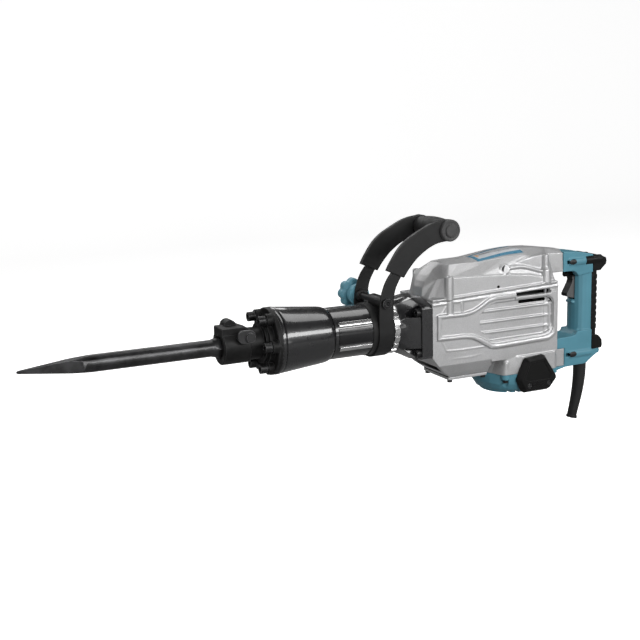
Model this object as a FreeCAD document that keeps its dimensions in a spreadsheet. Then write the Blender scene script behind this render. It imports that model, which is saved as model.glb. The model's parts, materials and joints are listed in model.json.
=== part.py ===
# Electric demolition hammer with a hexagonal tool holder, its chisel, drive and two handles.
# Frame: origin at the centre of the tool holder's mouth, +X to the rear along the barrel
# axis (the chisel points to -X), +Z up, +Y and -Y the two sides. Millimetres.
import FreeCAD
import Part
import Sketcher
import os
import math

V = FreeCAD.Vector
PI = math.pi
SIDES = (1, -1)       # +Y side, then -Y side
doc = FreeCAD.newDocument("demolition_hammer")

# ---------------------------------------------------------------- driving dimensions
# Names end in _x and _z for places, _rad for radii and _half for half widths.
DIMS = [
    # chisel and tool holder
    ("hex_af", 30.0), ("bar_dia", 28.0), ("chisel_out", 325.0), ("point_len", 112.0),
    ("shank_in", 97.0), ("holder_rad", 30.0), ("holder_len", 47.0), ("block_half", 20.5),
    ("block_top", 33.0), ("neck_rad", 27.0), ("retainer_x", 42.0), ("retainer_z", 18.0),
    ("retainer_rad", 9.0), ("flange_x", 75.5), ("flange_rear", 92.0), ("front_pcd", 93.0),
    ("front_bolt_rad", 5.0), ("front_head_rad", 8.0),
    # barrel
    ("cover_rear", 192.0), ("cover_rad", 57.3), ("barrel_rad", 44.6), ("liner_out", 36.0),
    ("bore_rad", 30.0), ("case_x", 176.0), ("joint_x", 370.0), ("flange_half", 60.0),
    ("flange_thick", 21.0), ("fit_gap", 0.05),
    # hammer mechanism and motor
    ("anvil_rad", 24.0), ("anvil_nose", 14.0), ("anvil_tail", 16.0), ("piston_len", 52.0),
    ("rod_len", 95.0), ("crank_x", 445.5), ("crank_throw", 18.0), ("inter_x", 510.5),
    ("motor_x", 560.0), ("motor_rad", 62.0), ("stator_rad", 50.0), ("rotor_rad", 27.5),
    ("gear_level", 50.0), ("gear_face", 12.0), ("fast_level", 66.0), ("fast_face", 10.0),
    # main housing and its covers
    ("wall_half", 59.0), ("ridge_half", 63.0), ("house_rear", 634.5), ("split_front", 43.5),
    ("split_rear", 53.5), ("deck_low", 26.0), ("tail_top", -104.0), ("tail_low", -142.0),
    ("crank_low", -96.0),
    # front handle
    ("strap_in", 46.0), ("strap_out", 49.5), ("strap_front", 272.0), ("strap_wide", 27.5),
    ("clamp_x", 285.0), ("clamp_z", 51.0), ("clamp_bolt_rad", 5.0), ("knob_rad", 27.0),
    ("grip_x", 409.0), ("grip_z", 166.0), ("grip_rod_rad", 6.0), ("cap_rad", 19.0),
    # rear handle and cord guard
    ("arm_half", 22.0), ("arm_wide", 25.0), ("column_front", 706.0), ("column_split", 739.5),
    ("column_rear", 760.0), ("handle_screw_top", 83.0), ("handle_screw_low", -93.5),
    ("guard_rad", 12.2), ("cord_rad", 5.0),
]

ARITHMETIC = {
    "+": lambda a, b: a + b,
    "-": lambda a, b: a - b,
    "*": lambda a, b: a * b,
    "/": lambda a, b: a / b,
}


class Driven:
    """A number together with the spreadsheet expression that drives it."""

    def __init__(self, value, expression):
        self.value = float(value)
        self.expression = expression

    def __add__(self, other): return combine(self, "+", other)
    def __radd__(self, other): return combine(other, "+", self)
    def __sub__(self, other): return combine(self, "-", other)
    def __rsub__(self, other): return combine(other, "-", self)
    def __mul__(self, other): return combine(self, "*", other)
    def __rmul__(self, other): return combine(other, "*", self)
    def __truediv__(self, other): return combine(self, "/", other)
    def __neg__(self): return combine(self, "*", -1.0)


def num(value):
    return value.value if isinstance(value, Driven) else float(value)


def combine(left, sign, right):
    text = [a.expression if isinstance(a, Driven) else "(%.6f)" % a for a in (left, right)]
    return Driven(ARITHMETIC[sign](num(left), num(right)), "(" + sign.join(text) + ")")


class Dimensions:
    """One Driven attribute for each spreadsheet alias."""


dim = Dimensions()
sheet = doc.addObject("Spreadsheet::Sheet", "dims")
sheet.Label = "dims"
for row, (alias, value) in enumerate(DIMS, 1):
    sheet.set("A%d" % row, "%.4f" % value)
    sheet.setAlias("A%d" % row, alias)
    sheet.set("B%d" % row, alias)
    setattr(dim, alias, Driven(value, "dims." + alias))
doc.recompute()

parts = []            # finished pieces, in order


def add_part(obj, label):
    obj.Label = label
    parts.append(obj)


def express(obj, path, value):
    """Drives a property from the spreadsheet if its value is a Driven one."""
    if isinstance(value, Driven):
        obj.setExpression(path, value.expression)


def bind(obj, prop, value):
    setattr(obj, prop, num(value))
    express(obj, prop, value)


def place(obj, at, rotation=FreeCAD.Rotation()):
    obj.Placement = FreeCAD.Placement(V(*[num(a) for a in at]), rotation)
    for axis, value in zip("xyz", at):
        express(obj, "Placement.Base." + axis, value)


# ---------------------------------------------------------------- sketch loops
def circle(x, y, radius):
    return ("circle", x, y, radius)


def circles(places, radius):
    return [circle(x, y, radius) for x, y in places]


def poly(points):
    return ("poly", points)


def slot(x0, x1, y, radius):
    """Slot along the sketch's horizontal axis, between two end centres."""
    return ("slot", x0, x1, y, radius)


def rect(x0, y0, x1, y1):
    return poly([(x0, y0), (x1, y0), (x1, y1), (x0, y1)])


def hexagon(x, y, across_flats, corner_deg=0.0):
    radius = across_flats / math.sqrt(3.0)
    angles = [math.radians(corner_deg + 60 * i) for i in range(6)]
    return poly([(x + radius * math.cos(a), y + radius * math.sin(a)) for a in angles])


def hexagons(places, across_flats, corner_deg=0.0):
    return [hexagon(x, y, across_flats, corner_deg) for x, y in places]


def spread(x, count, corners):
    """Polygons spaced evenly about (x, 0); corners are (radius, angle off the middle)."""
    return [poly([(num(x) + num(r) * math.cos(turn + w), num(r) * math.sin(turn + w))
                  for r, w in corners])
            for turn in [2 * PI * k / count for k in range(count)]]


def mirror_first(points):
    """Adds the mirror image with the first coordinate negated; axis points stay single."""
    return points + [(-a, b) for a, b in reversed(points) if abs(num(a)) > 1e-9]


def mirror_second(points):
    """Adds the mirror image with the second coordinate negated."""
    return points + [(a, -b) for a, b in reversed(points)]


def pair(x, y):
    return [(x, y), (x, -y)]


# ---------------------------------------------------------------- PartDesign bodies
class Body:
    """One PartDesign body. Planes: XY (x, y; faces +Z), XZ (x, z; faces -Y),
    YZ (y, z; faces +X). Each feature must change the volume the way it should."""

    def __init__(self, label):
        self.body = doc.addObject("PartDesign::Body", "B_" + label)
        self.label = label
        self.volume = 0.0
        add_part(self.body, label)

    def sketch(self, plane, loops, start=0.0):
        sketch = self.body.newObject("Sketcher::SketchObject", "Sketch_" + self.label)
        support = [f for f in self.body.Origin.OriginFeatures
                   if getattr(f, "Role", "") == plane + "_Plane"][0]
        sketch.AttachmentSupport = [(support, "")]
        sketch.MapMode = "FlatFace"
        sketch.AttachmentOffset = FreeCAD.Placement(V(0, 0, num(start)), FreeCAD.Rotation())
        express(sketch, "AttachmentOffset.Base.z", start)

        def fix(kind, *args):
            """Adds a constraint whose last argument is its value."""
            constraint = Sketcher.Constraint(kind, *args[:-1], num(args[-1]))
            index = sketch.addConstraint(constraint)
            express(sketch, "Constraints[%d]" % index, args[-1])

        def arc(x, y, radius, start_angle):
            full = Part.Circle(V(x, y, 0), V(0, 0, 1), radius)
            return Part.ArcOfCircle(full, start_angle, start_angle + PI)

        for kind, *data in loops:
            first = sketch.GeometryCount
            if kind == "circle":
                x, y, radius = data
                centre = V(num(x), num(y), 0)
                sketch.addGeometry(Part.Circle(centre, V(0, 0, 1), num(radius)), False)
                fix("Radius", first, radius)
                fix("DistanceX", -1, 1, first, 3, x)
                fix("DistanceY", -1, 1, first, 3, y)
            elif kind == "poly":
                points = data[0]
                count = len(points)
                ends = [V(num(x), num(y), 0) for x, y in points]
                sketch.addGeometry([Part.LineSegment(ends[i], ends[(i + 1) % count])
                                    for i in range(count)], False)
                sketch.addConstraint([
                    Sketcher.Constraint("Coincident", first + i, 2, first + (i + 1) % count, 1)
                    for i in range(count)])
                for i, (x, y) in enumerate(points):
                    fix("DistanceX", -1, 1, first + i, 1, x)
                    fix("DistanceY", -1, 1, first + i, 1, y)
            else:
                x0, x1, y, radius = data
                sketch.addGeometry([
                    Part.LineSegment(V(x0, y + radius, 0), V(x1, y + radius, 0)),
                    arc(x1, y, radius, -PI / 2),
                    Part.LineSegment(V(x1, y - radius, 0), V(x0, y - radius, 0)),
                    arc(x0, y, radius, PI / 2)], False)
        return sketch

    def finish(self, feature, sign):
        """Recomputes; sign is +1 for a feature that adds and -1 for one that cuts."""
        doc.recompute()
        volume = feature.Shape.Volume
        if not sign * (volume - self.volume) > 1e-3:
            raise RuntimeError("%s: %s changed nothing" % (self.label, feature.Name))
        self.volume = volume
        self.tip = feature

    def extrude(self, kind, plane, loops, start, length, reverse, mid=False):
        profile = self.sketch(plane, loops, start)
        feature = self.body.newObject("PartDesign::" + kind, kind)
        feature.Profile = profile
        bind(feature, "Length", length)
        feature.Reversed = reverse
        feature.Midplane = mid
        self.finish(feature, 1 if kind == "Pad" else -1)

    def pad(self, plane, loops, start, length, reverse=False):
        """Pads along the plane's normal."""
        self.extrude("Pad", plane, loops, start, length, reverse)

    def pad_mid(self, plane, loops, width):
        self.extrude("Pad", plane, loops, 0.0, width, False, mid=True)

    def pad_out(self, side, loops, start, length):
        """Pads outwards from the distance start off the XZ plane."""
        self.extrude("Pad", "XZ", loops, -side * start, length, side > 0)

    def pocket(self, plane, loops, start, length):
        """Cuts against the plane's normal."""
        self.extrude("Pocket", plane, loops, start, length, False)

    def bore(self, plane, loops, start, length):
        """Cuts along the plane's normal."""
        self.extrude("Pocket", plane, loops, start, length, True)

    def pocket_mid(self, plane, loops, width):
        self.extrude("Pocket", plane, loops, 0.0, width, False, mid=True)

    def cut_out(self, side, loops, start, length):
        """Cuts outwards from the distance start off the XZ plane."""
        self.extrude("Pocket", "XZ", loops, -side * start, length, side < 0)

    def spin(self, points, plane="XZ", axis="H_Axis", cut=False):
        """Full turn about the sketch's horizontal or vertical axis."""
        profile = self.sketch(plane, [poly(points)])
        kind = "Groove" if cut else "Revolution"
        feature = self.body.newObject("PartDesign::" + kind, kind)
        feature.Profile = profile
        feature.ReferenceAxis = (profile, [axis])
        feature.Angle = 360.0
        self.finish(feature, -1 if cut else 1)

    def loft(self, plane, sections):
        """Ruled loft through sections of (start, points)."""
        sketches = [self.sketch(plane, [poly(points)], start) for start, points in sections]
        doc.recompute()
        feature = self.body.newObject("PartDesign::AdditiveLoft", "Loft")
        feature.Profile = sketches[0]
        feature.Sections = sketches[1:]
        feature.Ruled = True
        self.finish(feature, 1)


# ---------------------------------------------------------------- Part helpers
def cylinder(name, at, radius, length, axis=V(0, 0, 1)):
    obj = doc.addObject("Part::Cylinder", name)
    bind(obj, "Radius", radius)
    bind(obj, "Height", length)
    place(obj, at, FreeCAD.Rotation(V(0, 0, 1), axis))
    return obj


def cut(name, base, tool):
    obj = doc.addObject("Part::Cut", name)
    obj.Base = base
    obj.Tool = tool
    return obj


def shape_part(label, shape):
    obj = doc.addObject("Part::Feature", "F_" + label)
    obj.Shape = shape
    add_part(obj, label)


# ---------------------------------------------------------------- shared places
joint_x = dim.joint_x
barrel_rad = dim.barrel_rad
crank_x = dim.crank_x
crank_pin_x = crank_x - dim.crank_throw
piston_x = crank_pin_x - dim.rod_len          # the piston pin
inter_x = dim.inter_x
motor_x = dim.motor_x
tail_top = dim.tail_top
crank_low = dim.crank_low
front_circle = dim.front_pcd / 2
# screw places: (y, z) for the flanges and the handle, (x, y) for the covers
front_places = [(front_circle * math.cos(math.radians(a)), front_circle * math.sin(math.radians(a)))
                for a in (0, 60, 120, 180, 240, 300)]
flange_places = [(side * 50.0, z) for side in SIDES for z in (28.0, -43.5)]
cover_front_places = pair(405.0, 55.0)
cover_rear_places = pair(611.0, 51.0)
crankcase_places = pair(416.5, 38.5) + pair(485.5, 38.5)
tail_places = pair(524.0, -54.0) + pair(629.0, -53.0)
brush_places = [(563.5, -126.5), (606.0, -126.0)]          # (x, z)
handle_places = [(side * 20.0, z) for side in SIDES
                 for z in (dim.handle_screw_top, dim.handle_screw_low)]
handle_top_places = handle_places[::2]
handle_low_places = handle_places[1::2]

# ================================================================ chisel
body = Body("chisel")
tip_x = -dim.chisel_out
point_end = dim.point_len - dim.chisel_out
shank_in = dim.shank_in
bar_rad = dim.bar_dia / 2
body.spin([(tip_x, 0.0), (tip_x, 1.6), (tip_x + 3, 3.0), (tip_x + 3, bar_rad), (-15.0, bar_rad),
           (0.0, 17.6), (shank_in - 3, 17.6), (shank_in, 15.0), (shank_in, 0.0)])
# four sided point with flat faces meeting at a small blunt tip
for plane in ("XZ", "XY"):
    for side in SIDES:
        body.pocket_mid(plane, [poly([
            (tip_x - 2, side * 1.7), (point_end, side * 13.0), (point_end + 4, side * 14.6),
            (point_end, side * 16.5), (tip_x - 2, side * 16.5)])], 60.0)
# the six flats of the shank
body.bore("YZ", [circle(0.0, 0.0, 30.0), hexagon(0.0, 0.0, dim.hex_af)], -16.0, shank_in + 20)
# retaining notch across the top of the shank
body.pocket_mid("XZ", [poly([(32.0, 8.5), (72.0, 8.5), (76.0, 20.0), (28.0, 20.0)])], 60.0)

# ================================================================ tool holder
body = Body("tool_holder")
holder_rad = dim.holder_rad
holder_len = dim.holder_len
flange_x = dim.flange_x
flange_rear = dim.flange_rear
body.spin([(1.5, 0.0), (0.0, 20.0), (0.0, holder_rad - 2), (2.0, holder_rad),
           (holder_len - 2, holder_rad), (holder_len, holder_rad - 1.5),
           (holder_len, dim.neck_rad), (flange_x, dim.neck_rad), (flange_x, 41.0),
           (84.0, 41.0), (84.0, 56.0), (85.5, 57.0), (flange_rear, 57.0), (flange_rear, 0.0)])
# square block above the bore, sloping down behind
body.pad_mid("XZ", [poly([
    (0.0, 0.0), (0.0, dim.block_top - 1), (1.0, dim.block_top), (38.0, dim.block_top),
    (50.0, 28.0), (54.0, 24.0), (54.0, 0.0)])], dim.block_half * 2)
# round boss on the +Y side
body.pad("XZ", [circle(23.0, 31.0, 11.0)], -4.0, 22.0, reverse=True)
# neck web in front of the flange and six bolt lobes
body.pad("YZ", [circle(0.0, 0.0, 35.0)], 71.0, 6.0)
body.pad("YZ", circles(front_places, 11.0), 74.5, 14.0)
body.bore("YZ", circles(front_places, dim.front_bolt_rad + 0.2), 60.0, 40.0)
# hexagonal socket with a round lead-in
body.bore("YZ", [hexagon(0.0, 0.0, dim.hex_af + 0.3)], -5.0, 110.0)
body.spin([(-1.0, 0.0), (-1.0, 20.2), (0.0, 20.2), (4.5, 15.2), (4.5, 0.0)], cut=True)
# cross bore for the retainer pin
retainer_x = dim.retainer_x
retainer_z = dim.retainer_z
body.pocket_mid("XZ", [circle(retainer_x, retainer_z, dim.retainer_rad + 0.05)], 120.0)

# ================================================================ tool retainer
# D pin with a lever on the -Y side
body = Body("tool_retainer")
body.pad("XZ", [circle(retainer_x, retainer_z, dim.retainer_rad)], -27.0, 61.0)
body.pad("XZ", [slot(31.5, 41.0, 19.5, 10.6)], 31.5, 5.5)
body.pad("XZ", [circle(retainer_x, retainer_z, 7.6)], 37.0, 4.0)
body.pad("XZ", [circle(retainer_x, retainer_z, 7.0)], -30.0, 3.2)
body.pocket_mid("XZ", [rect(20.0, retainer_z + 2.7, 70.0, 40.0)], 46.0)

# ================================================================ front screws
# socket heads with spring washers behind them
body = Body("front_bolts")
body.pad("YZ", circles(front_places, dim.front_head_rad), 61.5, 10.0)
body.pad("YZ", circles(front_places, dim.front_bolt_rad), 71.5, 60.0)
body.bore("YZ", hexagons(front_places, 8.0, 30.0), 61.5, 5.5)
body.pad("YZ", circles(front_places, 7.4), 71.5, 1.4)
body.pad("YZ", circles(front_places, 7.9), 72.9, 1.6)

# ================================================================ tapered front cover
body = Body("front_cover")
cover_rad = dim.cover_rad
cover_rear = dim.cover_rear
# x, and how far the outer surface lies inside cover_rad
COVER_TAPER = [
    (92.0, 1.6), (94.0, 0.9), (97.0, 0.0), (106.0, 0.4), (116.0, 1.4), (128.0, 3.1),
    (140.0, 4.4), (152.0, 5.5), (165.0, 6.8), (174.0, 8.0), (181.0, 9.3), (187.0, 10.6),
    (cover_rear - 1.2, 11.8), (cover_rear, 12.3),
]
body.spin([(92.0, 34.0)] + [(x, cover_rad - drop) for x, drop in COVER_TAPER]
          + [(cover_rear, 40.0), (dim.case_x, 40.0), (dim.case_x, 34.0)])
body.bore("YZ", circles(front_places, dim.front_bolt_rad), 92.0, 39.5)

# ================================================================ anvil, its bush and buffer
body = Body("anvil_bush")
anvil_rad = dim.anvil_rad
body.spin([(92.0, 17.9), (92.0, 33.95), (178.0, 33.95), (178.0, anvil_rad + 0.06),
           (98.0, anvil_rad + 0.06), (98.0, 17.9)])

body = Body("anvil")
anvil_nose = dim.anvil_nose
anvil_tail = dim.anvil_tail
body.spin([(97.5, 0.0), (97.5, anvil_nose - 1), (98.5, anvil_nose), (118.0, anvil_nose),
           (122.0, anvil_rad), (168.0, anvil_rad), (172.0, anvil_tail), (198.0, anvil_tail),
           (200.0, anvil_tail - 2), (200.0, 0.0)])

body = Body("buffer_ring")
body.spin([(178.0, 25.0), (178.0, 35.9), (190.0, 35.9), (190.0, 25.0)])

# ================================================================ cylinder liner and striker
body = Body("cylinder_liner")
body.spin([(190.0, dim.bore_rad), (190.0, dim.liner_out), (joint_x, dim.liner_out),
           (joint_x, dim.bore_rad)])

body = Body("striker")
slide_rad = dim.bore_rad - dim.fit_gap
body.spin([(225.0, 0.0), (225.0, 20.0), (228.0, slide_rad), (262.0, slide_rad),
           (262.0, slide_rad - 2.4), (266.0, slide_rad - 2.4), (266.0, slide_rad),
           (284.0, slide_rad), (285.0, slide_rad - 1), (285.0, 0.0)])

# ================================================================ piston, ring and pin
body = Body("piston")
piston_rear = piston_x + 15.5
piston_front = piston_rear - dim.piston_len
body.spin([(piston_front, 0.0), (piston_front, slide_rad - 1), (piston_front + 1, slide_rad),
           (piston_front + 5, slide_rad), (piston_front + 5, slide_rad - 3),
           (piston_front + 9, slide_rad - 3), (piston_front + 9, slide_rad),
           (piston_rear, slide_rad), (piston_rear, 0.0)])
# cavity for the rod's small end, open to the rear, and the pin bore along Z
body.pocket_mid("XZ", [poly([(piston_x - 17.0, -10.6), (piston_x - 17.0, 10.6),
                             (piston_x + 20.0, 10.6), (piston_x + 20.0, -10.6)])], 44.0)
body.pocket_mid("XY", [circle(piston_x, 0.0, 7.0)], 58.0)

body = Body("piston_ring")
body.spin([(piston_front + 5.1, slide_rad - 2.9), (piston_front + 5.1, slide_rad),
           (piston_front + 8.9, slide_rad), (piston_front + 8.9, slide_rad - 2.9)])

add_part(cylinder("piston_pin_cylinder", (piston_x, 0.0, -24.0), 7.0, 48.0), "piston_pin")

# ================================================================ connecting rod and crank pin
body = Body("connecting_rod")
body.pad("XY", [circle(piston_x, 0.0, 13.0)], -10.0, 20.0)
body.pad("XY", [circle(crank_pin_x, 0.0, 16.0)], -10.0, 20.0)
body.pad("XY", [poly([(piston_x + 5, -8.0), (piston_x + 5, 8.0),
                      (crank_pin_x - 5, 10.0), (crank_pin_x - 5, -10.0)])], -6.0, 12.0)
body.pocket_mid("XY", [circle(piston_x, 0.0, 7.05)], 60.0)
body.pocket_mid("XY", [circle(crank_pin_x, 0.0, 9.0)], 60.0)

add_part(cylinder("crank_pin_cylinder", (crank_pin_x, 0.0, -10.0), 9.0, 21.7), "crank_pin")

# ================================================================ involute gears
PRESSURE_ANGLE = math.radians(25.0)
TOOTH_SLACK = 0.12    # taken off each tooth's thickness at the pitch circle


def involute(angle):
    return math.tan(angle) - angle


def gear_points(module, teeth, x, phase, addendum, dedendum):
    """Spur gear outline about (x, 0); phase is the direction of one tooth's centre."""
    pitch_rad = module * teeth / 2.0
    base_rad = pitch_rad * math.cos(PRESSURE_ANGLE)
    tip_rad = pitch_rad + addendum * module
    root_rad = pitch_rad - dedendum * module
    half = PI / (2 * teeth) - TOOTH_SLACK / (2 * pitch_rad) + involute(PRESSURE_ANGLE)
    start = max(base_rad, root_rad)
    radii = [start + (tip_rad - start) * i / 4.0 for i in range(5)]
    points = []
    for k in range(teeth):
        centre = phase + 2 * PI * k / teeth
        left, right = [], []
        for radius in radii:
            width = half - involute(math.acos(min(1.0, base_rad / radius)))
            left.append((radius, centre - width))
            right.append((radius, centre + width))
        if root_rad < base_rad:
            left.insert(0, (root_rad, left[0][1]))
            right.insert(0, (root_rad, right[0][1]))
        points += left + right[::-1]
    return [(x + r * math.cos(a), r * math.sin(a)) for r, a in points]


def gear(module, teeth, x, bottom, face, phase, addendum, dedendum):
    outline = gear_points(module, teeth, num(x), phase, addendum, dedendum)
    corners = [V(px, py, bottom) for px, py in outline]
    return Part.Face(Part.makePolygon(corners + [corners[0]])).extrude(V(0, 0, face))


def upright(radius, length, x, bottom, y=0.0):
    return Part.makeCylinder(radius, length, V(num(x), y, bottom))


def wheel(module, teeth, x, bottom, face):
    """Large gear, with a tooth gap facing the next shaft to the rear or front."""
    return gear(module, teeth, x, bottom, face, PI / teeth, addendum=0.9, dedendum=1.2)


def pinion(module, x, level, face):
    """12 tooth pinion, 1 mm wider than its wheel, with a tooth pointing to the front."""
    return gear(module, 12, x, level - 0.5, face + 1, PI, addendum=1.0, dedendum=1.15)


gear_level = num(dim.gear_level)
gear_face = num(dim.gear_face)
fast_level = num(dim.fast_level)
fast_face = num(dim.fast_face)
SLOW_MODULE = 2.5
FAST_MODULE = 1.5

shape = wheel(SLOW_MODULE, 40, crank_x, gear_level, gear_face)
shape = shape.cut(upright(12.0, gear_face + 2, crank_x, gear_level - 1))
for k in range(5):
    turn = 2 * PI * k / 5
    shape = shape.cut(upright(9.0, gear_face + 2, num(crank_x) + 30 * math.cos(turn),
                              gear_level - 1, 30 * math.sin(turn)))
shape_part("crank_gear", shape)

body = Body("crankshaft")
for radius, bottom, height in ((30.0, 12.0, 12.0), (12.5, 24.0, 26.0), (12.0, 50.0, 14.0)):
    body.pad("XY", [circle(crank_x, 0.0, radius)], bottom, height)

shape = wheel(FAST_MODULE, 54, inter_x, fast_level, fast_face)
shape = shape.cut(upright(9.0, fast_face + 2, inter_x, fast_level - 1))
shape_part("intermediate_gear", shape)

shape = pinion(SLOW_MODULE, inter_x, gear_level, gear_face)
shape = shape.fuse([upright(7.5, 7.6, inter_x, 42.2), upright(11.0, 3.5, inter_x, 62.4),
                    upright(9.0, 13.4, inter_x, 65.5), upright(7.5, 9.0, inter_x, 78.7)])
shape_part("intermediate_shaft", shape.removeSplitter())

shape = pinion(FAST_MODULE, motor_x, fast_level, fast_face)
shape = shape.fuse([upright(7.0, 39.0, motor_x, 27.0), upright(9.0, 161.0, motor_x, -134.0)])
shape_part("armature_shaft", shape.removeSplitter())


# ================================================================ motor internals
def tube(x, outer, inner):
    return [circle(x, 0.0, outer), circle(x, 0.0, inner)]


body = Body("armature_core")
body.pad("XY", tube(motor_x, dim.rotor_rad, 9.0), -70.0, 62.0)
body.bore("XY", spread(motor_x, 12, [(29.0, -0.05), (29.0, 0.05), (19.0, 0.10), (19.0, -0.10)]),
          -71.0, 66.0)

body = Body("commutator")
body.pad("XY", tube(motor_x, 15.0, 9.0), -116.0, 30.0)

body = Body("cooling_fan")
body.pad("XY", tube(motor_x, 46.0, 9.0), 4.0, 3.0)
body.pad("XY", tube(motor_x, 14.0, 9.0), 7.0, 14.0)
body.pad("XY", spread(motor_x, 11, [(12.5, -0.10), (12.5, 0.10), (45.0, 0.028), (45.0, -0.028)]),
         6.0, 14.0)

body = Body("stator")
body.pad("XY", tube(motor_x, dim.stator_rad, dim.rotor_rad + 0.7), -70.0, 62.0)
body.pad("XY", tube(motor_x, 44.0, 30.0), -80.0, 82.0)

body = Body("shaft_bearings")
# shaft x, shaft radius, outer radius, bottom z, width
BEARINGS = [
    (crank_x, 12.5, 26.0, 28.0, 14.0),
    (inter_x, 7.5, 17.5, 42.0, 6.0),
    (inter_x, 7.5, 17.5, 79.0, 9.0),
    (motor_x, 7.0, 17.5, 34.0, 11.0),
    (motor_x, 9.0, 17.5, -134.0, 10.0),
]
for x, shaft_rad, outer_rad, bottom, width in BEARINGS:
    body.pad("XY", tube(x, outer_rad, shaft_rad + 0.02), bottom, width)

body = Body("brush_holders")
for side in SIDES:
    body.pad("XY", [rect(motor_x - 9, side * 22.0, motor_x + 9, side * 50.0)], -110.0, 18.0)
    body.bore("XY", [rect(motor_x - 5.05, side * 20.0, motor_x + 5.05, side * 52.0)],
              -106.05, 10.1)

body = Body("carbon_brushes")
for side in SIDES:
    body.pad("XY", [rect(motor_x - 5.0, side * 15.1, motor_x + 5.0, side * 42.0)], -106.0, 10.0)

# ================================================================ cylinder case
body = Body("cylinder_case")
liner_out = dim.liner_out
flange_front = joint_x - dim.flange_thick
body.spin([(dim.case_x, liner_out), (dim.case_x, 39.95), (cover_rear, 39.95),
           (cover_rear, barrel_rad - 0.8), (cover_rear + 1, barrel_rad),
           (joint_x - 55, barrel_rad), (flange_front - 2, barrel_rad + 6.0),
           (flange_front, barrel_rad + 6.0), (flange_front, liner_out)])
# (y, z) of the flange's +Y half, top to bottom
FLANGE = [(0.0, 50.0), (24.0, 49.5), (54.0, 40.5), (dim.flange_half, 35.0),
          (dim.flange_half, -49.0), (55.0, -54.0), (12.0, -60.0)]
body.pad("YZ", [poly(mirror_first(FLANGE))], flange_front, dim.flange_thick)
# flare from the barrel's circle to just inside the flange outline, point for point
FLARE_ANGLES = [0, 0.50, 0.96, 1.22, 2.05, 2.35, 2.88]     # radians from the top
FLARE_RIM = [(0.0, 49.5), (24.0, 49.0), (50.0, 40.5), (55.5, 35.0), (55.5, -47.5),
             (51.0, -52.5), (12.0, -59.0)]
barrel_points = [(barrel_rad * math.sin(a), barrel_rad * math.cos(a)) for a in FLARE_ANGLES]
body.loft("YZ", [(joint_x - 56, mirror_first(barrel_points)),
                 (flange_front, mirror_first(FLARE_RIM))])
# corner pockets that clear the flange screws
for side in SIDES:
    for z, up in ((30.0, 1), (-43.5, -1)):
        body.pocket("YZ", [poly([
            (side * 38.0, z - 9.5 * up), (side * 66.0, z - 9.5 * up),
            (side * 66.0, z + 22.0 * up), (side * 45.0, z + 9.0 * up)])], flange_front, 24.0)
body.bore("YZ", [circle(0.0, 0.0, liner_out)], dim.case_x - 1, 200.0)
body.bore("YZ", circles(flange_places, 5.2), flange_front - 1, 24.0)

body = Body("flange_bolts")
body.pad("YZ", circles(flange_places, 7.5), 341.0, 8.0)
body.bore("YZ", hexagons(flange_places, 7.0, 30.0), 341.0, 4.5)
body.pad("YZ", circles(flange_places, 5.0), 349.0, 43.0)


# ================================================================ plates on the barrel
def barrel_arc(front, thickness, middle, half_angle):
    """Curved plate from front to x = 261; degrees, 0 is -Y and 90 is +Z."""
    inner = num(barrel_rad)
    outer = inner + thickness

    def point(radius, degrees):
        turn = math.radians(degrees)
        return V(front, -radius * math.cos(turn), radius * math.sin(turn))

    low = middle - half_angle
    high = middle + half_angle
    wire = Part.Wire([
        Part.Arc(point(outer, low), point(outer, middle), point(outer, high)).toShape(),
        Part.LineSegment(point(outer, high), point(inner, high)).toShape(),
        Part.Arc(point(inner, high), point(inner, middle), point(inner, low)).toShape(),
        Part.LineSegment(point(inner, low), point(outer, low)).toShape()])
    return Part.Face(wire).extrude(V(261.0 - front, 0, 0))


shape_part("barrel_plate", Part.makeCompound(
    [barrel_arc(198.5, 1.4, middle, 17.5) for middle in (2.0, 178.0)]))
shape_part("barrel_trim_bars", Part.makeCompound(
    [barrel_arc(200.0, 3.0, middle, 4.6) for middle in (28.5, -26.0, 151.5, 206.0)]))

body = Body("index_ring")
body.pad("YZ", tube(0.0, barrel_rad + 1.6, barrel_rad), 303.6, 10.2)
body.pad("YZ", spread(0.0, 20, [(barrel_rad + 0.6, -0.10), (barrel_rad + 0.6, 0.10),
                                (barrel_rad + 3.4, 0.085), (barrel_rad + 3.4, -0.085)]),
         303.6, 10.2)

# ================================================================ front handle: strap and clamp
strap_in = dim.strap_in
strap_out = dim.strap_out
strap_thick = strap_out - strap_in
clamp_x = dim.clamp_x
clamp_z = dim.clamp_z
clamp_bolt_rad = dim.clamp_bolt_rad

body = Body("clamp_liner")
body.spin([(262.5, barrel_rad + 0.06), (262.5, barrel_rad + 1.2), (263.5, strap_in),
           (302.6, strap_in), (302.6, barrel_rad + 0.06)])

# half ring under the barrel and two narrow arms that rise and lean to the rear
body = Body("handle_band")
body.pad("YZ", tube(0.0, strap_out, strap_in), dim.strap_front, dim.strap_wide)
body.bore("YZ", [rect(-60.0, 0.0, 60.0, 60.0)], dim.strap_front - 5, 50.0)
# (x, z), up the rear edge and down the front edge
NARROW_ARM = [
    (272.0, -1.0), (299.5, -1.0), (299.6, 30.0), (300.6, 55.0), (303.0, 70.0),
    (308.0, 82.0), (318.0, 98.0), (331.0, 113.0), (320.0, 124.5), (306.0, 113.0),
    (292.0, 98.0), (283.0, 84.0), (276.5, 66.0), (273.0, 45.0), (272.0, 20.0),
]
for start in (strap_in, -strap_out):
    body.pad("XZ", [poly(NARROW_ARM)], start, strap_thick)
body.pocket_mid("XZ", [circle(clamp_x, clamp_z, clamp_bolt_rad + 0.1)], 120.0)

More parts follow.
